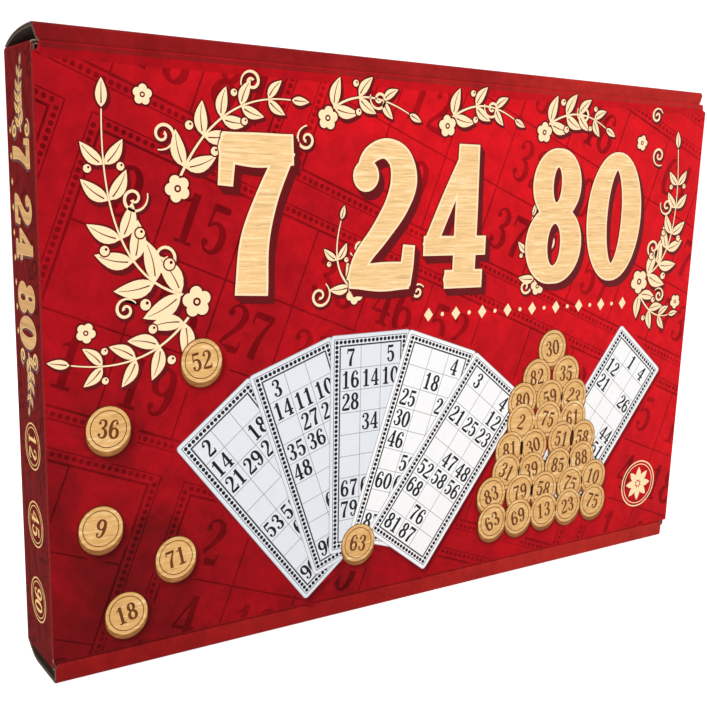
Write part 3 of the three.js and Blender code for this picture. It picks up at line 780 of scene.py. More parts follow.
def bag_cords():
    """On each side, two strands that hang from the drawn neck to one knot."""
    for side_name, side in SIDES.items():
        knot = bag_knot(side_name)
        for strand, route in CORD_ROUTES.items():
            line = even(smooth_line([bag_point((side * x, y, z)) for x, y, z in route]), 0.55)
            node = "bag_cord_" + strand + "_" + side_name
            shell = tube(line, CORD / 2, 12, twist=7.5, lobe=0.28)
            cord = to_object(node + "_strand", *shell, [cord_thread], smooth=True)
            dress(cord, "bag", "bag_cord", node)


def bag_ring(z, width, depth, fold, swell=0.0, shrink=0.0, wave=0.0):
    """One ring of the pouch, folded by the drawn cords and bulged by the tiles in it."""
    folds = sum(weight * np.cos(count * TURN + phase) for count, phase, weight in GATHERS)
    folds = (folds - folds.max()) / (folds.max() - folds.min())
    cosine, sine = (np.sign(part) * np.abs(part) ** 0.8 for part in (np.cos(TURN), np.sin(TURN)))
    x = cosine * (width / 2 - shrink + fold * folds)
    y = sine * (depth / 2 - shrink + fold * folds * 0.8)
    if swell:
        share = (z - BAG_FOOT) / BAG_HEIGHT
        push = np.zeros(AROUND)
        for lump_x, lump_z, face, size, power in LUMPS:
            away = (x / (BAG_WIDTH / 2) - lump_x) ** 2 + ((share - lump_z) * 1.7) ** 2
            push += power * np.exp(-away / size ** 2) * (np.sign(y) == face)
        y += np.sign(y) * (np.minimum(push, 1.2) - 1.2) * swell * np.abs(np.sin(TURN)) ** 0.5
    return np.stack([BAG_X + x, BAG_Y + y, np.full(AROUND, z) + wave], 1)


def body_ring(share):
    """The pouch at a share of its height, more folded near the neck and more bulged lower down."""
    rises, widths, depths = np.transpose(PROFILE)
    fold = 0.25 + 3.4 * (max(0.0, share - 0.45) / 0.55) ** 1.6
    swell = 1.5 * min(1, max(0, (0.8 - share) / 0.3)) * min(1, share / 0.05)
    return bag_ring(BAG_FOOT + share * BAG_HEIGHT, BAG_WIDTH * np.interp(share, rises, widths),
                    BAG_DEPTH * np.interp(share, rises, depths), fold, swell)


def frill_ring(share, spread, shrink=0.0, lift=0.0):
    """The frill at a share of its height, opened by spread, with a wavy edge."""
    width = NECK_WIDTH + (FRILL_WIDTH - NECK_WIDTH) * spread
    depth = NECK_DEPTH + (FRILL_DEPTH - NECK_DEPTH) * spread
    wave = (np.clip(RIPPLE, -1, 1) - 1) * 1.6 * share
    return bag_ring(NECK + (share + lift) * FRILL_HEIGHT, width, depth, NECK_FOLD + 2.2 * share,
                    shrink=shrink, wave=wave)


def pouch():
    """The full pouch, gathered at the neck, with an open frill whose hem goes back down inside."""
    rings = [body_ring(share) for share in BODY]
    rings += [bag_ring(NECK + rise, NECK_WIDTH + grow, NECK_DEPTH + grow, NECK_FOLD)
              for rise, grow in CHANNEL]
    rings += [frill_ring(*step) for step in FRILL]
    rings += [frill_ring(*FRILL[-1], shrink=0.5, lift=0.02)]
    rings += [frill_ring(*step, shrink=0.9) for step in reversed(FRILL)]
    rings += [bag_ring(NECK + rise, NECK_WIDTH, NECK_DEPTH, NECK_FOLD * 0.3, shrink=shrink)
              for rise, shrink in INSIDE]
    count = len(rings) * AROUND
    last = count - AROUND
    faces = ring_faces(len(rings), AROUND)
    for k in range(AROUND):
        m = (k + 1) % AROUND
        faces += [(count, m, k), (count + 1, last + k, last + m)]
    verts = np.concatenate(rings + [[rings[0].mean(0)], [rings[-1].mean(0) - (0, 0, 0.2)]])
    bag = to_object("bag_pouch_cloth", verts, faces, [bag_cloth], smooth=True)
    dress(bag, "bag", "bag_cloth", "bag_pouch")


def bag_trim():
    """The side seams, the drawn cords' loops in the channel, and the hem's stitches."""
    seams, loops, stitches = Shells(), Shells(), Shells()
    for k, out in ((0, 1), (AROUND // 2, -1)):
        line = np.array([body_ring(share)[k] for share in BODY[2:48]]) - (0.15 * out, 0, 0)
        seams.add(tube(even(line, 1.2), 0.45, 8))
    for rise in (-1.035, 1.035):
        line = bag_ring(NECK + rise, NECK_WIDTH - 0.6, NECK_DEPTH - 0.6, NECK_FOLD)[::2]
        loops.add(tube(line, CORD * 0.42, 10, twist=6, lobe=0.25, closed=True))
    hem = frill_ring(*FRILL[STITCHED], shrink=-0.05)
    for a, b in zip(hem[::2], hem[1::2]):
        stitches.add(tube(np.array([a, (a + b) / 2, b]), 0.16, 5))
    dress(seams.object("bag_side_seams", [hem_cloth], smooth=True), "bag", "bag_cloth")
    dress(loops.object("bag_neck_cord_loops", [cord_thread], smooth=True), "bag", "bag_cord")
    dress(stitches.object("bag_hem_stitches", [thread_light]), "bag", "bag_cloth")


bag_cords()
pouch()
bag_trim()


# Flat shapes for the print. A shape is a pair: points on the printed face, and triangles.
PRINT_STEP, SUB_STEPS, PRINT_ROOT = 0.014, 3, -0.03
SOFT_STEPS = 3


def merged(polygons, rule=bool):
    """The union of polygons, or the parts of it whose source polygons pass a rule."""
    points, faces = [], []
    for polygon in polygons:
        faces.append(list(range(len(points), len(points) + len(polygon))))
        points += [Vector((float(u), float(v))) for u, v in polygon]
    verts, _, found, _, _, sources = delaunay_2d_cdt(points, [], faces, 1, 1e-5)
    verts = np.array([tuple(vert) for vert in verts])
    tris = np.array([tri for tri, ids in zip(found, sources) if rule(ids)], int).reshape(-1, 3)
    a, b, c = (verts[tris[:, k]] for k in range(3))
    area = (b[:, 0] - a[:, 0]) * (c[:, 1] - a[:, 1]) - (b[:, 1] - a[:, 1]) * (c[:, 0] - a[:, 0])
    tris = np.where((area > 0)[:, None], tris, tris[:, ::-1])[np.abs(area) > 1e-9]
    used, order = np.unique(tris, return_inverse=True)
    return verts[used], order.reshape(-1, 3)


def clipped(shape, low, high):
    """The part of a shape in an upright rectangle."""
    verts, tris = shape
    if (verts >= low).all() and (verts <= high).all():
        return shape
    if (verts.max(0) <= low).any() or (verts.min(0) >= high).any():
        return verts, tris[:0]
    # the window is the last polygon, so the parts in it list its number and a triangle's
    window = [low, (high[0], low[1]), high, (low[0], high[1])]
    return merged([*verts[tris], window], lambda ids: len(tris) in ids and len(ids) > 1)


def both(*shapes):
    starts = np.cumsum([0] + [len(verts) for verts, tris in shapes])
    return (np.concatenate([verts for verts, tris in shapes]),
            np.concatenate([tris + start for (verts, tris), start in zip(shapes, starts)]))


def placed(shape, u, v, angle=0.0, scale=1.0):
    """A shape made larger by scale, turned by an angle in degrees and moved."""
    cosine, sine = heading(angle) * scale
    return shape[0] @ np.array([[cosine, sine], [-sine, cosine]]) + (u, v), shape[1]


def heading(angle):
    """One step in the direction of an angle in degrees."""
    return np.array([math.cos(math.radians(angle)), math.sin(math.radians(angle))])


def fan(points):
    """A convex outline, filled from its middle."""
    count = len(points)
    tris = [(k, (k + 1) % count, count) for k in range(count)]
    return np.concatenate([points, [np.mean(points, 0)]]), np.array(tris)


def circle(radius, count, u=0.0, v=0.0):
    turns = np.linspace(0, 2 * math.pi, count, endpoint=False)
    return np.stack([u + radius * np.cos(turns), v + radius * np.sin(turns)], 1)


def bead(radius):
    return circle(radius, 6), np.array([(0, k, k + 1) for k in range(1, 5)])


def diamond(u, v, half_width, half_height):
    return fan([(u - half_width, v), (u, v - half_height), (u + half_width, v), (u, v + half_height)])


def box_points(width, height, radius=0.0):
    """A rectangle's corners, or its outline with rounded corners."""
    u, v = width / 2 - radius, height / 2 - radius
    if not radius:
        return np.array([(-u, -v), (u, -v), (u, v), (-u, v)])
    return np.array([*arc(u, -v, radius, -90, 0, 3), *arc(u, v, radius, 0, 90, 3),
                     *arc(-u, v, radius, 90, 180, 3), *arc(-u, -v, radius, 180, 270, 3)])


def ring(outer, inner):
    """The band between two loops with as many points."""
    count = len(outer)
    tris = []
    for k in range(count):
        m = (k + 1) % count
        tris += [(k, m, count + m), (k, count + m, count + k)]
    return np.concatenate([outer, inner]), np.array(tris)


def box_ring(width, height, line):
    return ring(box_points(width, height), box_points(width - line, height - line))


def circle_ring(radius, line, count, u, v):
    return ring(circle(radius, count, u, v), circle(radius - line, count, u, v))


def strip(points, widths, closed=False):
    """Quads along a line with changing widths."""
    points = np.array(points, float)
    along = np.roll(points, -1, 0) - np.roll(points, 1, 0) if closed else np.gradient(points, axis=0)
    along /= np.linalg.norm(along, axis=1)[:, None]
    across = np.stack([-along[:, 1], along[:, 0]], 1) * np.reshape(widths, (-1, 1)) / 2
    left, right = points + across, points - across
    count = len(points)
    steps = [(k, (k + 1) % count) for k in range(count - 1 + closed)]
    return [[left[a], right[a], right[b], left[b]] for a, b in steps]


def bead_row(width, height, gap, shape):
    """Beads around a rectangle, counted from its corners."""
    ends = box_points(width, height)
    spots = []
    for a, b in zip(ends, np.roll(ends, -1, 0)):
        count = int(math.dist(a, b) / gap)
        spots += [a + (b - a) * k / count for k in range(count)]
    return both(*(placed(shape, *spot) for spot in spots))


def lattice(columns, rows, cell_u, cell_v, line):
    """The ruled lines of a card, centred."""
    width, height = columns * cell_u, rows * cell_v
    uprights = [box_points(line, height + line) + (k * cell_u - width / 2, 0) for k in range(columns + 1)]
    levels = [box_points(width + line, line) + (0, k * cell_v - height / 2) for k in range(rows + 1)]
    return merged(uprights + levels)


# Numerals, drawn 1 high as strokes with their widths, closed bowls and round ends
THICK, THIN = 0.17, 0.075
NUMERAL_LINES = {
    "0": [],
    "1": [([(0.3, 0.05), (0.3, 0.5), (0.3, 1.0)], [0.16, 0.16, 0.16]),
          ([(0.12, 0.035), (0.3, 0.035), (0.48, 0.035)], [0.07, 0.07, 0.07]),
          ([(0.3, 0.93), (0.2, 0.84), (0.09, 0.8)], [0.13, 0.07, 0.05])],
    "2": [([(0.12, 0.8), (0.17, 0.91), (0.3, 0.965), (0.43, 0.9), (0.475, 0.75), (0.42, 0.58),
            (0.28, 0.38), (0.13, 0.2), (0.085, 0.07)],
           [0.05, 0.055, 0.07, 0.13, 0.165, 0.14, 0.1, 0.08, 0.08]),
          ([(0.06, 0.075), (0.3, 0.07), (0.52, 0.075)], [0.09, 0.14, 0.13]),
          ([(0.51, 0.04), (0.53, 0.15), (0.54, 0.26)], [0.06, 0.05, 0.04])],
    "3": [([(0.12, 0.83), (0.18, 0.93), (0.3, 0.965), (0.42, 0.89), (0.45, 0.76), (0.4, 0.62), (0.26, 0.535)],
           [0.05, 0.055, 0.07, 0.13, 0.155, 0.11, 0.06]),
          ([(0.24, 0.535), (0.41, 0.47), (0.475, 0.28), (0.42, 0.1), (0.29, 0.04), (0.16, 0.08), (0.1, 0.18)],
           [0.06, 0.12, 0.17, 0.13, 0.07, 0.055, 0.05])],
    "4": [([(0.385, 0.96), (0.22, 0.64), (0.06, 0.3)], [0.06, 0.06, 0.06]),
          ([(0.03, 0.285), (0.3, 0.285), (0.56, 0.285)], [0.075, 0.075, 0.075]),
          ([(0.39, 0.05), (0.39, 0.5), (0.39, 0.99)], [0.15, 0.15, 0.13]),
          ([(0.24, 0.035), (0.39, 0.035), (0.54, 0.035)], [0.07, 0.07, 0.07])],
    "5": [([(0.13, 0.92), (0.3, 0.915), (0.48, 0.93)], [0.13, 0.14, 0.12]),
          ([(0.135, 0.97), (0.125, 0.75), (0.11, 0.5)], [0.055, 0.055, 0.055]),
          ([(0.11, 0.53), (0.26, 0.625), (0.42, 0.54), (0.475, 0.33), (0.41, 0.11), (0.28, 0.04),
            (0.16, 0.08), (0.1, 0.18)], [0.05, 0.08, 0.14, 0.17, 0.12, 0.07, 0.055, 0.05])],
    "6": [([(0.46, 0.84), (0.41, 0.93), (0.31, 0.965), (0.19, 0.88), (0.125, 0.68), (0.105, 0.42),
            (0.15, 0.16), (0.28, 0.05)], [0.05, 0.055, 0.07, 0.11, 0.15, 0.165, 0.13, 0.07])],
    "7": [([(0.08, 0.925), (0.3, 0.915), (0.54, 0.925)], [0.12, 0.15, 0.13]),
          ([(0.1, 0.97), (0.085, 0.85), (0.075, 0.72)], [0.06, 0.05, 0.04]),
          ([(0.51, 0.9), (0.38, 0.62), (0.29, 0.33), (0.27, 0.01)], [0.07, 0.1, 0.15, 0.18])],
    "8": [],
}
NUMERAL_BOWLS = {
    "0": [(0.3, 0.5, 0.205, 0.455, THICK)],
    "6": [(0.3, 0.3, 0.19, 0.262, 0.155)],
    "8": [(0.3, 0.75, 0.155, 0.21, 0.15), (0.3, 0.28, 0.19, 0.24, THICK)],
}
NUMERAL_BALLS = {
    "2": [(0.145, 0.775, 0.075)],
    "3": [(0.145, 0.79, 0.07), (0.135, 0.2, 0.075)],
    "5": [(0.135, 0.2, 0.075)],
    "6": [(0.43, 0.81, 0.068)],
}
NUMERAL_WIDTH, NUMERAL_GAP = 0.6, 0.34
CLOSE_ADVANCE, TITLE_ADVANCE = 0.61, 0.68


@functools.lru_cache(None)
def numeral(figure, grow, fine):
    """One slab-seriffed figure, 1 high, made fatter by grow on each side."""
    if figure == "9":
        verts, tris = numeral("6", grow, fine)
        return (NUMERAL_WIDTH, 1) - verts, tris
    polygons = []
    for points, widths in NUMERAL_LINES[figure]:
        curve = smooth_line([(*point, width) for point, width in zip(points, widths)], 6 if fine else 2)
        line, widths = curve[:, :2], curve[:, 2]
        for end, beside in ((0, 1), (-1, -2)):
            outward = line[end] - line[beside]
            line[end] += outward / np.linalg.norm(outward) * grow
        polygons += strip(line, widths + 2 * grow)
        if grow and fine:
            polygons += [circle(widths[k] / 2 + grow, 14, *line[k]) for k in range(1, len(line) - 1, 3)]
    for u, v, half_width, half_height, thick in NUMERAL_BOWLS.get(figure, []):
        loop = circle(1, 48 if fine else 16)
        widths = THIN + (thick - THIN) * np.abs(loop[:, 0]) ** 1.3
        polygons += strip(loop * (half_width, half_height) + (u, v), widths + 2 * grow, closed=True)
    for u, v, radius in NUMERAL_BALLS.get(figure, []):
        polygons.append(circle(radius + grow, 24 if fine else 8, u, v))
    return merged(polygons)


def number(text, height, u=0.0, v=0.0, angle=0.0, grow=0.0, fine=True, advance=CLOSE_ADVANCE):
    """Figures in a row, centred on a point. A blank in the text is a gap."""
    shapes, along = [], 0.0
    for figure in text:
        if figure == " ":
            along += NUMERAL_GAP
            continue
        shapes.append(placed(numeral(figure, grow / height, fine), along, 0))
        along += advance
    verts, tris = both(*shapes)
    middle = (along - advance + NUMERAL_WIDTH) / 2
    return placed((verts - (middle, 0.5), tris), u, v, angle, height)


# Printed layers
ink_black = plain_print("print_black", (30, 26, 28), 0.15)
ink_grey = plain_print("print_grey", (120, 116, 116), 0.08)
card_white = plain_print("print_card", (238, 238, 238), 0.03)
card_cool = plain_print("print_card_cool", (218, 222, 227), 0.03)
card_edge = plain_print("print_card_edge", (150, 150, 156), 0.06)
cream = plain_print("print_cream", (252, 220, 176), 0.04)
ring_ink = plain_print("print_ring", (252, 222, 174), 0.05)
gold = plain_print("print_gold", (255, 208, 128), 0.06)
deep_red = plain_print("print_deep_red", (96, 10, 16), 0.15)
coin_ink = plain_print("print_counter_ink", (104, 56, 24), 0.15)
title_wood = wood_print("print_title_wood", (252, 226, 180), (234, 192, 134), (14, 14, 260), 3.4)
gold_wood = wood_print("print_gold_wood", (255, 208, 132), (228, 170, 100), (4, 4, 120), 3.0)
coin_wood = wood_print("print_counter_wood", (240, 208, 152), (216, 168, 104), (30, 30, 190), 2.2)
coin_edge = wood_print("print_counter_edge", (178, 124, 70), (142, 90, 48), (30, 30, 190), 2.2)
PRINT_INKS = [band_tone, painted_bend_shade, lid_faint, lid_shadow, ink_black, ink_grey, card_white, card_cool,
              card_edge, cream, ring_ink, deep_red, title_wood, coin_wood, coin_edge, coin_ink]


class Print(Shells):
    """Thin closed layers printed on one face of the box. Higher levels lie over lower ones, and layers
    of one level differ a little in height, so that no two meet in one plane."""

    def __init__(self, place, other_inks=None):
        super().__init__()
        self.place = place
        self.inks = [(other_inks or {}).get(ink, ink) for ink in PRINT_INKS]
        self.shades = []
        self.turn = 0

    def add(self, shape, level, ink, shades=0.0):
        verts, tris = shape
        count = len(verts)
        self.turn = (self.turn + 1) % SUB_STEPS
        height = PRINT_STEP * (level + self.turn / (SUB_STEPS + 1))
        layers = [self.place(*verts.T, np.full(count, h)) for h in (height, PRINT_ROOT)]
        sides = np.concatenate([tris[:, [k, (k + 1) % 3]] for k in range(3)])
        # a side is free where no other triangle runs along it the other way
        free = sides[~np.isin(sides @ (count, 1), sides @ (1, count))]
        walls = [(b, a, a + count, b + count) for a, b in free.tolist()]
        faces = tris.tolist() + (tris[:, ::-1] + count).tolist() + walls
        super().add((layers, faces), PRINT_INKS.index(ink))
        self.shades += [np.broadcast_to(shades, count)] * 2

    def soft(self, outline, level, inner, outer, depth, offset):
        """A soft shadow: full inside a convex outline, fading out around it."""
        outline = outline + np.array(offset)
        middle = outline.mean(0)
        size = np.linalg.norm(outline - middle, axis=1).mean()
        steps = np.linspace(0, 1, SOFT_STEPS + 1)
        loops = [middle + (outline - middle) * (1 - inner / size + t * (inner + outer) / size) for t in steps]
        shades = np.repeat(depth * (0.5 + 0.5 * np.cos(math.pi * steps)), len(outline))
        count = len(outline)
        tris = [(k, (k + 1) % count, len(steps) * count) for k in range(count)]
        for start in range(0, SOFT_STEPS * count, count):
            for k in range(count):
                a, b = start + k, start + (k + 1) % count
                tris += [(a + count, b + count, b), (a + count, b, a)]
        self.turn = 0
        self.add((np.concatenate(loops + [[middle]]), np.array(tris)), level, lid_shadow, [*shades, depth])

    def object(self, name, body, slot):
        ob = to_object(name, np.concatenate(self.verts), self.faces, self.inks, self.index,
                       shades=np.concatenate(self.shades))
        return dress(ob, body, slot)


# Printed motifs
LEAF_WIDTH, LEAF_ANGLE, LEAF_RIM, LEAF_DROP = 0.42, 42, 1.6, np.array([0.9, -1.2])
BERRY_ANGLE, BERRY_REACH, BERRY_SIZE = 95, 0.55, 0.13


def leaf(length, width, bend=0.0, count=9):
    """A leaf's outline and its middle line."""
    t = np.linspace(0, 1, count)
    middle = np.stack([t * length, bend * np.sin(math.pi * t)], 1)
    half = width / 2 * np.sin(math.pi * t ** 0.8) ** 0.9
    half[[0, -1]] = 0
    across = np.stack([0 * t, half], 1)
    return np.concatenate([middle - across, (middle + across)[-2:0:-1]]), middle


def stroke(out, points, widths, level, ink):
    out.add(merged(strip(points, widths)), level, ink)


def sprig(out, start, control, end, pairs, size, level=2, berries=True):
    """A laurel sprig: a curved stem with paired leaves and berries, rimmed in dark red."""
    steps = 24
    stem = np.array(quad_curve(start, control, end, steps))
    for root, tip, lift, ink in ((2.2, 1.0, 1, deep_red), (1.1, 0.5, 2, cream)):
        stroke(out, stem, np.linspace(root, tip, steps + 1), level + lift, ink)
    for k in range(pairs + 1):
        share = 0.1 + 0.9 * k / pairs
        i = min(steps, int(round(share * steps)))
        here = stem[i]
        ahead = stem[min(steps, i + 1)] - stem[max(0, i - 1)]
        course = math.degrees(math.atan2(ahead[1], ahead[0]))
        length = size * (1 - 0.45 * share)
        for side in ((-1, 1) if k < pairs else (0,)):
            bend, width = side * length * 0.06, length * LEAF_WIDTH
            outline, middle = leaf(length, width, bend)
            rim = fan(leaf(length + LEAF_RIM, width + LEAF_RIM + 0.1, bend)[0])
            turn = course + side * LEAF_ANGLE
            base, rear = here + heading(turn) * 0.6, here - heading(turn) * 0.2
            out.add(placed(rim, *rear, turn), level + 0.6, deep_red)
            out.add(placed(rim, *(rear + LEAF_DROP * length / 14), turn), level, deep_red)
            out.add(placed(fan(outline), *base, turn), level + 2, cream)
            vein = merged(strip(middle[1:-1], np.linspace(0.55, 0.2, len(middle) - 2)))
            out.add(placed(vein, *base, turn), level + 3, deep_red)
            if side and berries and k % 2 == 1:
                spot = here + heading(course + side * BERRY_ANGLE) * length * BERRY_REACH
                berry(out, here, spot, length * BERRY_SIZE, level)


def berry(out, stem, spot, radius, level):
    stroke(out, [stem, (stem + spot) / 2, spot], 0.6, level + 1, deep_red)
    out.add(fan(circle(radius + 0.6, 18, *spot)), level + 4, deep_red)
    out.add(fan(circle(radius, 18, *spot)), level + 5, cream)
    out.add(fan(circle(radius * 0.32, 8, *(spot + radius * 0.3))), level + 6, deep_red)


def curl(out, u, v, radius, turn, hand, level=2):
    """A tendril that winds into a small coil."""
    t = np.linspace(0, 1, 34)
    reach = radius * (1 - 0.86 * t ** 0.8)
    angle = math.radians(turn) + hand * t * 2 * math.pi * 1.45
    line = np.stack([u + reach * np.cos(angle), v + reach * np.sin(angle)], 1)
    widths = np.interp(t, (0, 0.3, 0.9, 1), (0.5, 1.25, 0.9, 1.5))
    stroke(out, line + (0.5, -0.7), widths + 1.5, level, deep_red)
    stroke(out, line, widths, level + 1.5, cream)


def blossom(out, u, v, radius, level=9, petals=5):
    """A small open flower of round petals, turned by its place."""
    for grow, lift, ink in ((0.8, 0, deep_red), (0.0, 2, cream)):
        spots = [(u, v) + radius * 0.55 * heading(u * 7 + 360 * k / petals) for k in range(petals)]
        out.add(merged([circle(radius * 0.42 + grow, 14, *spot) for spot in spots]), level + lift, ink)
    out.add(fan(circle(radius * 0.27, 12, u, v)), level + 3, deep_red)
    out.add(fan(circle(radius * 0.13, 10, u, v)), level + 4, cream)


def rosette(out, u, v, radius, level=2, petals=8):
    """A double ring around a plain rosette."""
    for share, line in ((1, 0.7), (0.86, 0.45)):
        out.add(circle_ring(radius * share, line, 48, u, v), level, ring_ink)
    petal = fan(leaf(radius * 0.6, radius * 0.3, count=7)[0])
    for k in range(petals):
        turn = 360 * k / petals
        out.add(placed(petal, *((u, v) + radius * 0.12 * heading(turn)), turn), level, ring_ink)
    out.add(fan(circle(radius * 0.1, 12, u, v)), level, ring_ink)


def number_badge(out, u, v, radius, text, angle, level=2):
    """A number in a double ring."""
    for share, line in ((1, 0.6), (0.82, 0.4)):
        out.add(circle_ring(radius * share, line, 40, u, v), level, ring_ink)
    out.add(number(text, radius * 0.95, u, v, angle), level, ring_ink)


def title(out, text, height, u, v, angle, level):
    """Big figures of pale wood with a cream rim and a dark drop shadow."""
    rim, body, drop = height * 0.015, height * 0.02, height * 0.05
    slide = 0.9 * heading(angle) + heading(angle - 90)
    for k in (3, 2, 1, 0):
        spot = (u, v) + drop * k / 3 * slide
        figures = number(text, height, *spot, angle, body + rim * 1.4, advance=TITLE_ADVANCE)
        out.add(figures, level + (3 - k) * 0.9, deep_red)
    for lift, grow, ink in ((4, body + rim, cream), (6, body, title_wood)):
        out.add(number(text, height, u, v, angle, grow, advance=TITLE_ADVANCE), level + lift, ink)


# Number cards and counters
CARD_COLUMNS, CARD_ROWS = 9, 3
PICTURED_CARD = (43.0, 101.0)
FAINT_SPAN = (9.6, 3.6)


def card_numbers(draw, per_row=5):
    """Three rows, each with numbers in different columns, which hold the tens."""
    rows = []
    used = [set() for _ in range(CARD_COLUMNS)]
    for _ in range(CARD_ROWS):
        row = {}
        for column in sorted(draw.sample(range(CARD_COLUMNS), per_row)):
            first, last = max(1, 10 * column), 10 * column + (10 if column == CARD_COLUMNS - 1 else 9)
            row[column] = draw.choice([n for n in range(first, last + 1) if n not in used[column]])
            used[column].add(row[column])
        rows.append(row)
    return rows


def faint_card(cell):
    """The ruled lines and the border of a number card."""
    border = [box_ring((9 + grow) * cell, (3 + grow) * cell, cell * 0.03) for grow in (0.3, 0.04)]
    wide, tall = 9.42 * cell, 3.42 * cell
    for length, width, across in ((wide, tall, False), (tall, wide, True)):
        count = int(length / (cell * 0.092))
        for k in range(count):
            for side in (-1, 1):
                spot = ((k + 0.5) / count - 0.5) * (length - cell * 0.3), side * (width - cell * 0.25) / 2
                border.append(placed(bead(cell * 0.033), *(spot[::-1] if across else spot)))
    return lattice(CARD_COLUMNS, CARD_ROWS, cell, cell, cell * 0.022), both(*border)


def faint_cards(out, windows, cell, angle, centre, seed):
    """Number cards printed tone on tone over a whole face, and cut at its edges."""
    draw = random.Random(seed)
    drawn = faint_card(cell)
    span_u, span_v = (cell * span for span in FAINT_SPAN)
    low, high = windows[0]
    reach = math.dist(low, high)
    most_u, most_v = (int(reach / span) + 1 for span in (span_u, span_v))
    for i in range(-most_u, most_u + 1):
        for j in range(-most_v, most_v + 1):
            along, up = i * span_u + (j % 2) * cell * 2.5, j * span_v
            spot = centre + along * heading(angle) + up * heading(angle + 90)
            rows = card_numbers(draw, per_row=6)
            if max(*(low - spot), *(spot - high)) > cell * 5:
                continue
            shapes = list(drawn)
            for r, row in enumerate(rows):
                shapes += [number(str(value), cell * 0.6, (column - 4) * cell, (1 - r) * cell, fine=False)
                           for column, value in row.items()]
            for shape in shapes:
                for window in windows:
                    cut = clipped(placed(shape, *spot, angle), *window)
                    if len(cut[1]):
                        out.add(cut, 1, lid_faint)


def game_card(out, u, v, angle, level, shadow_level, draw, paper):
    """A white number card with a beaded border, upright on its short edge."""
    width, height = PICTURED_CARD
    frame_w, frame_h = width - 3.2, height - 3.2
    cell_u, cell_v = (frame_w - 7.0) / CARD_ROWS, (frame_h - 7.0) / CARD_COLUMNS

    def lay(shape, lift, ink):
        out.add(placed(shape, u, v, angle), level + lift, ink)

    outline = box_points(width, height, 1.6)
    out.soft(placed((outline, None), u, v, angle)[0], shadow_level, 3.0, 3.5, 0.85, (1.6, -2.2))
    lay(fan(box_points(width + 0.5, height + 0.5, 1.8)), 0, card_edge)
    lay(fan(outline), 1, paper)
    for inset, line in ((0, 0.52), (5.8, 1.0)):
        lay(box_ring(frame_w - inset, frame_h - inset, line), 2, ink_black)
    lay(bead_row(frame_w - 3, frame_h - 3, 2.1, fan(circle(0.92, 7))), 2, ink_black)
    lay(lattice(CARD_ROWS, CARD_COLUMNS, cell_u, cell_v, 0.22), 2, ink_grey)
    for column, entries in enumerate(card_numbers(draw)):
        for row, value in entries.items():
            spot = (column - 1) * cell_u, (4 - row) * cell_v
            lay(number(str(value), cell_v * 0.78, *spot, grow=0.06, fine=False), 2, ink_black)


def counter(out, u, v, radius, text, angle, level, shadow_level):
    """A round wooden counter, seen a little from above."""
    out.soft(circle(radius, 28, u, v), shadow_level, 1.5, 2.6, 0.9, (1.3, -2.6))
    for grow, lift, ink in ((0.3, 0.2, coin_ink), (0.0, 0.8, coin_edge)):
        upper, lower = (circle(radius + grow, 40, u, v - drop) for drop in (0, radius * 0.2))
        out.add(fan(np.concatenate([upper[:21], lower[20:], lower[:1]])), level + lift, ink)
    out.add(fan(circle(radius, 40, u, v)), level + 1.7, coin_wood)
    out.add(circle_ring(radius * 0.84, radius * 0.04, 36, u, v), level + 2.5, coin_ink)
    out.add(number(text, radius * 0.86, u, v, angle, 0.05, fine=False), level + 2.5, coin_ink)


# The prints on the box
LID_PRINT_TOP, BAND_PRINT_TOP, SIDE_PRINT_TOP = 239.9, 243.3, UPPER_FOLD - 1.6
TITLE = "7 24 80"
ROW_START, ROW_PITCH, ROW_AT = -2, 8.2, 139
SPRIGS = [((-120, 152), (-160, 156), (-158, 222), 6, 19), ((-122, 146), (-140, 122), (-172, 128), 4, 16),
          ((-128, 196), (-112, 232), (-78, 230), 5, 15), ((-60, 226), (-44, 240), (-18, 228), 3, 13),
          ((-44, 152), (-58, 160), (-52, 182), 2, 11), ((4, 226), (22, 240), (44, 229), 3, 13),
          ((64, 226), (84, 240), (106, 228), 4, 14), ((142, 152), (173, 158), (163, 220), 6, 15.5),
          ((140, 146), (152, 128), (167, 131), 3, 13), ((66, 152), (54, 162), (60, 184), 2, 11)]
BLOSSOMS = [(-120, 150, 6.5), (-128, 194, 5.5), (-60, 224, 5), (4, 224, 5), (64, 224, 5), (141, 150, 6.5),
            (-44, 150, 4.5), (66, 150, 4.5), (-166, 140, 4), (172, 138, 4), (-142, 228, 4), (134, 222, 4)]
CURLS = [(-134, 168, 7, 200, 1), (-146, 190, 6, 20, -1), (-134, 214, 6, 250, 1), (-96, 236, 5, 200, -1),
         (-34, 233, 5, 160, 1), (-70, 215, 5.5, 90, 1), (30, 233, 5, 160, 1), (90, 234, 5, 150, 1),
         (-62, 150, 6, 60, -1), (-42, 170, 5, 200, 1), (-9, 150, 4, 30, 1), (72, 172, 5, 200, 1),
         (58, 150, 5, 100, -1), (150, 168, 6, 330, -1), (158, 190, 5.5, 160, 1), (148, 216, 5.5, 300, -1),
         (-150, 148, 5, 30, 1), (158, 142, 4.5, 140, -1), (144, 236, 4.5, 20, 1)]
FAN_PIVOT, FAN_REACH, FAN_ANGLES = (-32, 4), 78, (129, 110, 91, 72, 53)
COUNTERS = [(-158, 102, "36", -8), (-130, 44, "71", 12), (-162, 62, "9", -16), (-118, 126, "52", 9),
            (-152, 24, "18", 14), (-38, 34, "63", -10)]
HEAP_ROWS = (1, 2, 3, 3, 4, 4, 5, 5)
HEAP_TOP, HEAP_PITCH = (80, 117), (18.2, 12.2)
COUNTER_LEVEL = 26


def on_lid(u, v, height):
    return np.stack([u, FRONT - height, v], -1)


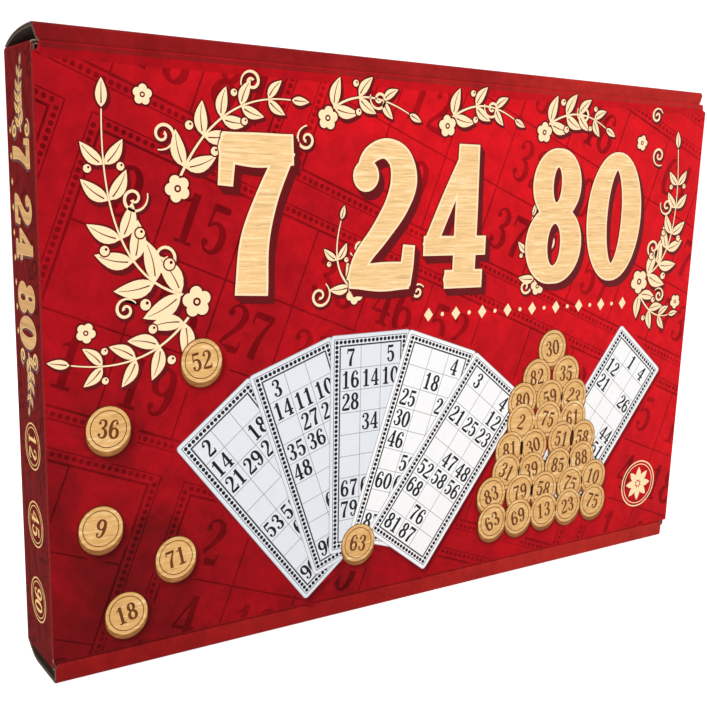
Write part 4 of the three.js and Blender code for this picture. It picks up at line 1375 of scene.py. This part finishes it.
def lid_print():
    """Big numbers among sprigs, over faint number cards."""
    out = Print(on_lid)
    ground = ((-182.0, LID_BOTTOM + 1.0), (182.0, LID_PRINT_TOP))
    strip_above = ((-179.7, LID_PRINT_TOP), (179.7, BAND_PRINT_TOP))
    faint_cards(out, [ground, strip_above], cell=34.0, angle=-21, centre=(-34, 112), seed=3)
    for curve in SPRIGS:
        sprig(out, *curve)
    for flower in BLOSSOMS:
        blossom(out, *flower)
    for coil in CURLS:
        curl(out, *coil)
    title(out, TITLE, height=62, u=12, v=184, angle=0, level=14)
    for k in range(17):
        u = ROW_START + ROW_PITCH * k
        out.add(fan(circle(1.0, 12, u, ROW_AT)) if k % 2 else diamond(u, ROW_AT, 2.6, 3.2), 2, cream)
    # the band's colour runs over the crease onto the lid; below it a darker strip of lid red is painted shade
    # where the lid bends
    for low, high, ink in ((241.4, BAND_PRINT_TOP, band_tone), (238.2, 241.4, painted_bend_shade)):
        edge = box_points(359.2, high - low) + (0, (low + high) / 2)
        out.add((edge, np.array([(0, 1, 2), (0, 2, 3)])), 1.6, ink)
    rosette(out, u=155, v=35, radius=13.5)
    out.object("lid_print", "lid", "printed_board")


def lid_game_print():
    """The cards and counters pictured on the lid."""
    out = Print(on_lid)
    draw = random.Random(24)
    game_card(out, u=116, v=74, angle=-38, level=7, shadow_level=5, draw=draw, paper=card_white)
    for k, angle in enumerate(FAN_ANGLES):
        spot = FAN_PIVOT + FAN_REACH * heading(angle)
        paper = card_cool if k < 3 else card_white
        game_card(out, *spot, angle - 90, 10 + 3 * k, 5.25 + 0.25 * k, draw, paper)
    for u, v, text, angle in COUNTERS:
        counter(out, u, v, 9.0, text, angle, COUNTER_LEVEL, 2)
    laid = 0
    for row, count in enumerate(HEAP_ROWS):
        for k in range(count):
            u = HEAP_TOP[0] + (k - (count - 1) / 2) * HEAP_PITCH[0] + draw.uniform(-1.5, 1.5)
            v = HEAP_TOP[1] - row * HEAP_PITCH[1] + draw.uniform(-1.4, 1.4)
            text, angle = str(draw.randint(1, 90)), draw.uniform(-30, 30)
            counter(out, u, v, 9.3, text, angle, COUNTER_LEVEL + 3.4 * row, 2 + 0.25 * (laid % 12))
            laid += 1
    out.object("lid_game_print", "lid", "printed_board")


def wall_print(side_name):
    """The print on a short wall. It reads downwards."""
    side = SIDES[side_name]
    out = Print(lambda u, v, height: np.stack([side * (HALF + height), side * u, v], -1),
                {lid_faint: side_faint, cream: gold, ring_ink: gold, title_wood: gold_wood})
    face = ((-15.4, 7.2), (15.4, SIDE_PRINT_TOP))
    faint_cards(out, [face], cell=21.0, angle=-68, centre=(4, 120), seed=9)
    title(out, TITLE, height=19.5, u=0.5, v=172, angle=-90, level=6)
    sprig(out, (1, 213), (-3, 224), (2, 236), 5, 7, berries=False)
    sprig(out, (0, 131), (4, 121), (-1, 110), 4, 7, berries=False)
    for u, hand in ((-7, 1), (8, -1)):
        curl(out, u, 214, 3.4, 90, hand)
        curl(out, u, 129, 3.4, -90, -hand)
    for k in range(9):
        out.add(diamond(-12.4, 214 - k * 9.5, 1.0, 1.4), 2, cream)
    for v, text in ((94, "12"), (62, "45"), (30, "90")):
        number_badge(out, 0.5, v, 9.5, text, -90)
    out.object("side_print_" + side_name, "tray", "printed_board_dark")


def back_print():
    out = Print(lambda u, v, height: np.stack([-u, BACK + height, v], -1), {lid_faint: back_faint})
    face = ((-179.5, 9.4), (179.5, SIDE_PRINT_TOP))
    faint_cards(out, [face], cell=30.0, angle=-21, centre=(20, 118), seed=17)
    for side in (-1, 1):
        sprig(out, (44 * side, 84), (78 * side, 108), (52 * side, 158), 6, 15)
    title(out, "90", height=44, u=0, v=126, angle=0, level=6)
    for k in range(-6, 7):
        out.add(diamond(8 * k, 74, 2.2, 2.8), 2, cream)
    out.object("back_print", "tray", "printed_board")


lid_print()
lid_game_print()
for wall_name in SIDES:
    wall_print(wall_name)
back_print()


# The real number cards and tiles
CARD_COUNT, TILE_COUNT = 24, 8


def card_print(name, draw):
    """A ruled number card with a beaded border, on the front of a card."""
    low, high = corners(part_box(name))
    middle_x, _, middle_z = (low + high) / 2
    out = Print(lambda u, v, height: np.stack([middle_x + u, low[1] - height, middle_z + v], -1))
    width, _, height = high - low - 4
    for inset, line in ((0, 0.7), (7.8, 1.1)):
        out.add(box_ring(width - inset, height - inset, line), 1, ink_black)
    out.add(bead_row(width - 4.3, height - 4.3, 2.9, bead(1.15)), 1, ink_black)
    cell_u, cell_v = (width - 10) / CARD_COLUMNS, (height - 10) / CARD_ROWS
    out.add(lattice(CARD_COLUMNS, CARD_ROWS, cell_u, cell_v, 0.35), 1, ink_grey)
    for row, entries in enumerate(card_numbers(draw)):
        for column, value in entries.items():
            spot = (column - 4) * cell_u, (1 - row) * cell_v
            out.add(number(str(value), 15, *spot, grow=0.3, fine=False), 1, ink_black)
    out.object(name + "_print", name, "card_paper")


def tile_print(name, draw):
    """A framed number on top of a tile."""
    low, high = corners(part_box(name))
    middle_x, middle_y, _ = (low + high) / 2
    out = Print(lambda u, v, height: np.stack([middle_x + u, middle_y + v, high[2] + height], -1))
    side = high[0] - low[0] - 3
    out.add(ring(box_points(side, side, 1.5), box_points(side - 0.6, side - 0.6, 1.5)), 1, coin_ink)
    out.add(number(str(draw.randint(1, 90)), 10.5, grow=0.12), 1, coin_ink)
    out.object(name + "_print", name, "tile_wood")


def cards_and_tiles():
    draw = random.Random(90)
    paper = card_paper()
    wood = wood_print("tile_wood_grain", (238, 206, 152), (212, 166, 106), (60, 14, 90), 2.0,
                      roughness=0.62, bump=0.00012, specular=0.25)
    names = [("card_%02d" % k, paper, card_print) for k in range(1, CARD_COUNT + 1)]
    names += [("tile_%d" % k, wood, tile_print) for k in range(1, TILE_COUNT + 1)]
    for name, material, add_print in names:
        nodes[name].material_slots[0].material = material
        add_print(name, draw)


cards_and_tiles()

# Stage: a floor that curves up into a wall far behind the box, lamps and a white world
FLOOR_WIDTH, FLOOR_FRONT, FLOOR_BACK = 9000, -2400, 1600
BEND, WALL_HEIGHT = 1200, 4000
FLOOR_GLOW, AMBIENT = 0.6, 0.5
LAMPS = [
    ("key", (-0.7, -1.5, 1.25), (0, 0, 0.12), 1.3, 21),
    ("fill", (1.5, -1.0, 0.5), (0.1, 0, 0.15), 1.4, 7),
    ("top", (0.1, 0.3, 1.6), (0, 0, 0.1), 1.4, 7),
]


def floor_material():
    """Pale grey under the lamps, with a glow that only the camera and gloss see, so that it shows white."""
    s = Shade("floor", roughness=0.9, specular=0.0)
    rays = s.tree.nodes.new("ShaderNodeLightPath").outputs
    seen = s.math("MAXIMUM", rays["Is Camera Ray"], rays["Is Glossy Ray"])
    s.feed(s.sockets["Base Color"], (0.9, 0.9, 0.9, 1))
    s.feed(s.sockets["Emission Color"], (1, 1, 1, 1))
    s.feed(s.sockets["Emission Strength"], s.times(seen, FLOOR_GLOW))
    return s.material


def floor():
    rows = [(y, 0.0) for y in np.linspace(FLOOR_FRONT, FLOOR_BACK, 5)]
    rows += arc(FLOOR_BACK, BEND, BEND, -82, 0, 11) + [(FLOOR_BACK + BEND, WALL_HEIGHT)]
    across, back = heading(-YAW), heading(90 - YAW)
    verts = [(*(side * FLOOR_WIDTH / 2 * across + y * back), z) for y, z in rows for side in (-1, 1)]
    faces = [(k, k + 1, k + 3, k + 2) for k in range(0, len(verts) - 2, 2)]
    to_object("floor", verts, faces, [floor_material()], smooth=True)


def white_world():
    """White to the camera and a softer white light on the object."""
    world = bpy.data.worlds.new("world")
    scene.world = world
    world.use_nodes = True
    tree = world.node_tree
    light, out = (next(n for n in tree.nodes if n.type == kind) for kind in ("BACKGROUND", "OUTPUT_WORLD"))
    shown, path, mix = (tree.nodes.new("ShaderNode" + kind)
                        for kind in ("Background", "LightPath", "MixShader"))
    for shader, strength in ((light, AMBIENT), (shown, 1.0)):
        shader.inputs["Color"].default_value = (1, 1, 1, 1)
        shader.inputs["Strength"].default_value = strength
    tree.links.new(path.outputs["Is Camera Ray"], mix.inputs[0])
    tree.links.new(light.outputs[0], mix.inputs[1])
    tree.links.new(shown.outputs[0], mix.inputs[2])
    tree.links.new(mix.outputs[0], out.inputs[0])


def lamp(name, place, aim, size, power):
    light = bpy.data.lights.new(name, "AREA")
    light.shape = "RECTANGLE"
    light.size = light.size_y = size
    light.energy = power
    ob = bpy.data.objects.new(name, light)
    scene.collection.objects.link(ob)
    ob.location = place
    ob.rotation_euler = (Vector(aim) - Vector(place)).to_track_quat("-Z", "Y").to_euler()


scene.view_settings.view_transform = "Standard"
floor()
white_world()
for lamp_facts in LAMPS:
    lamp(*lamp_facts)
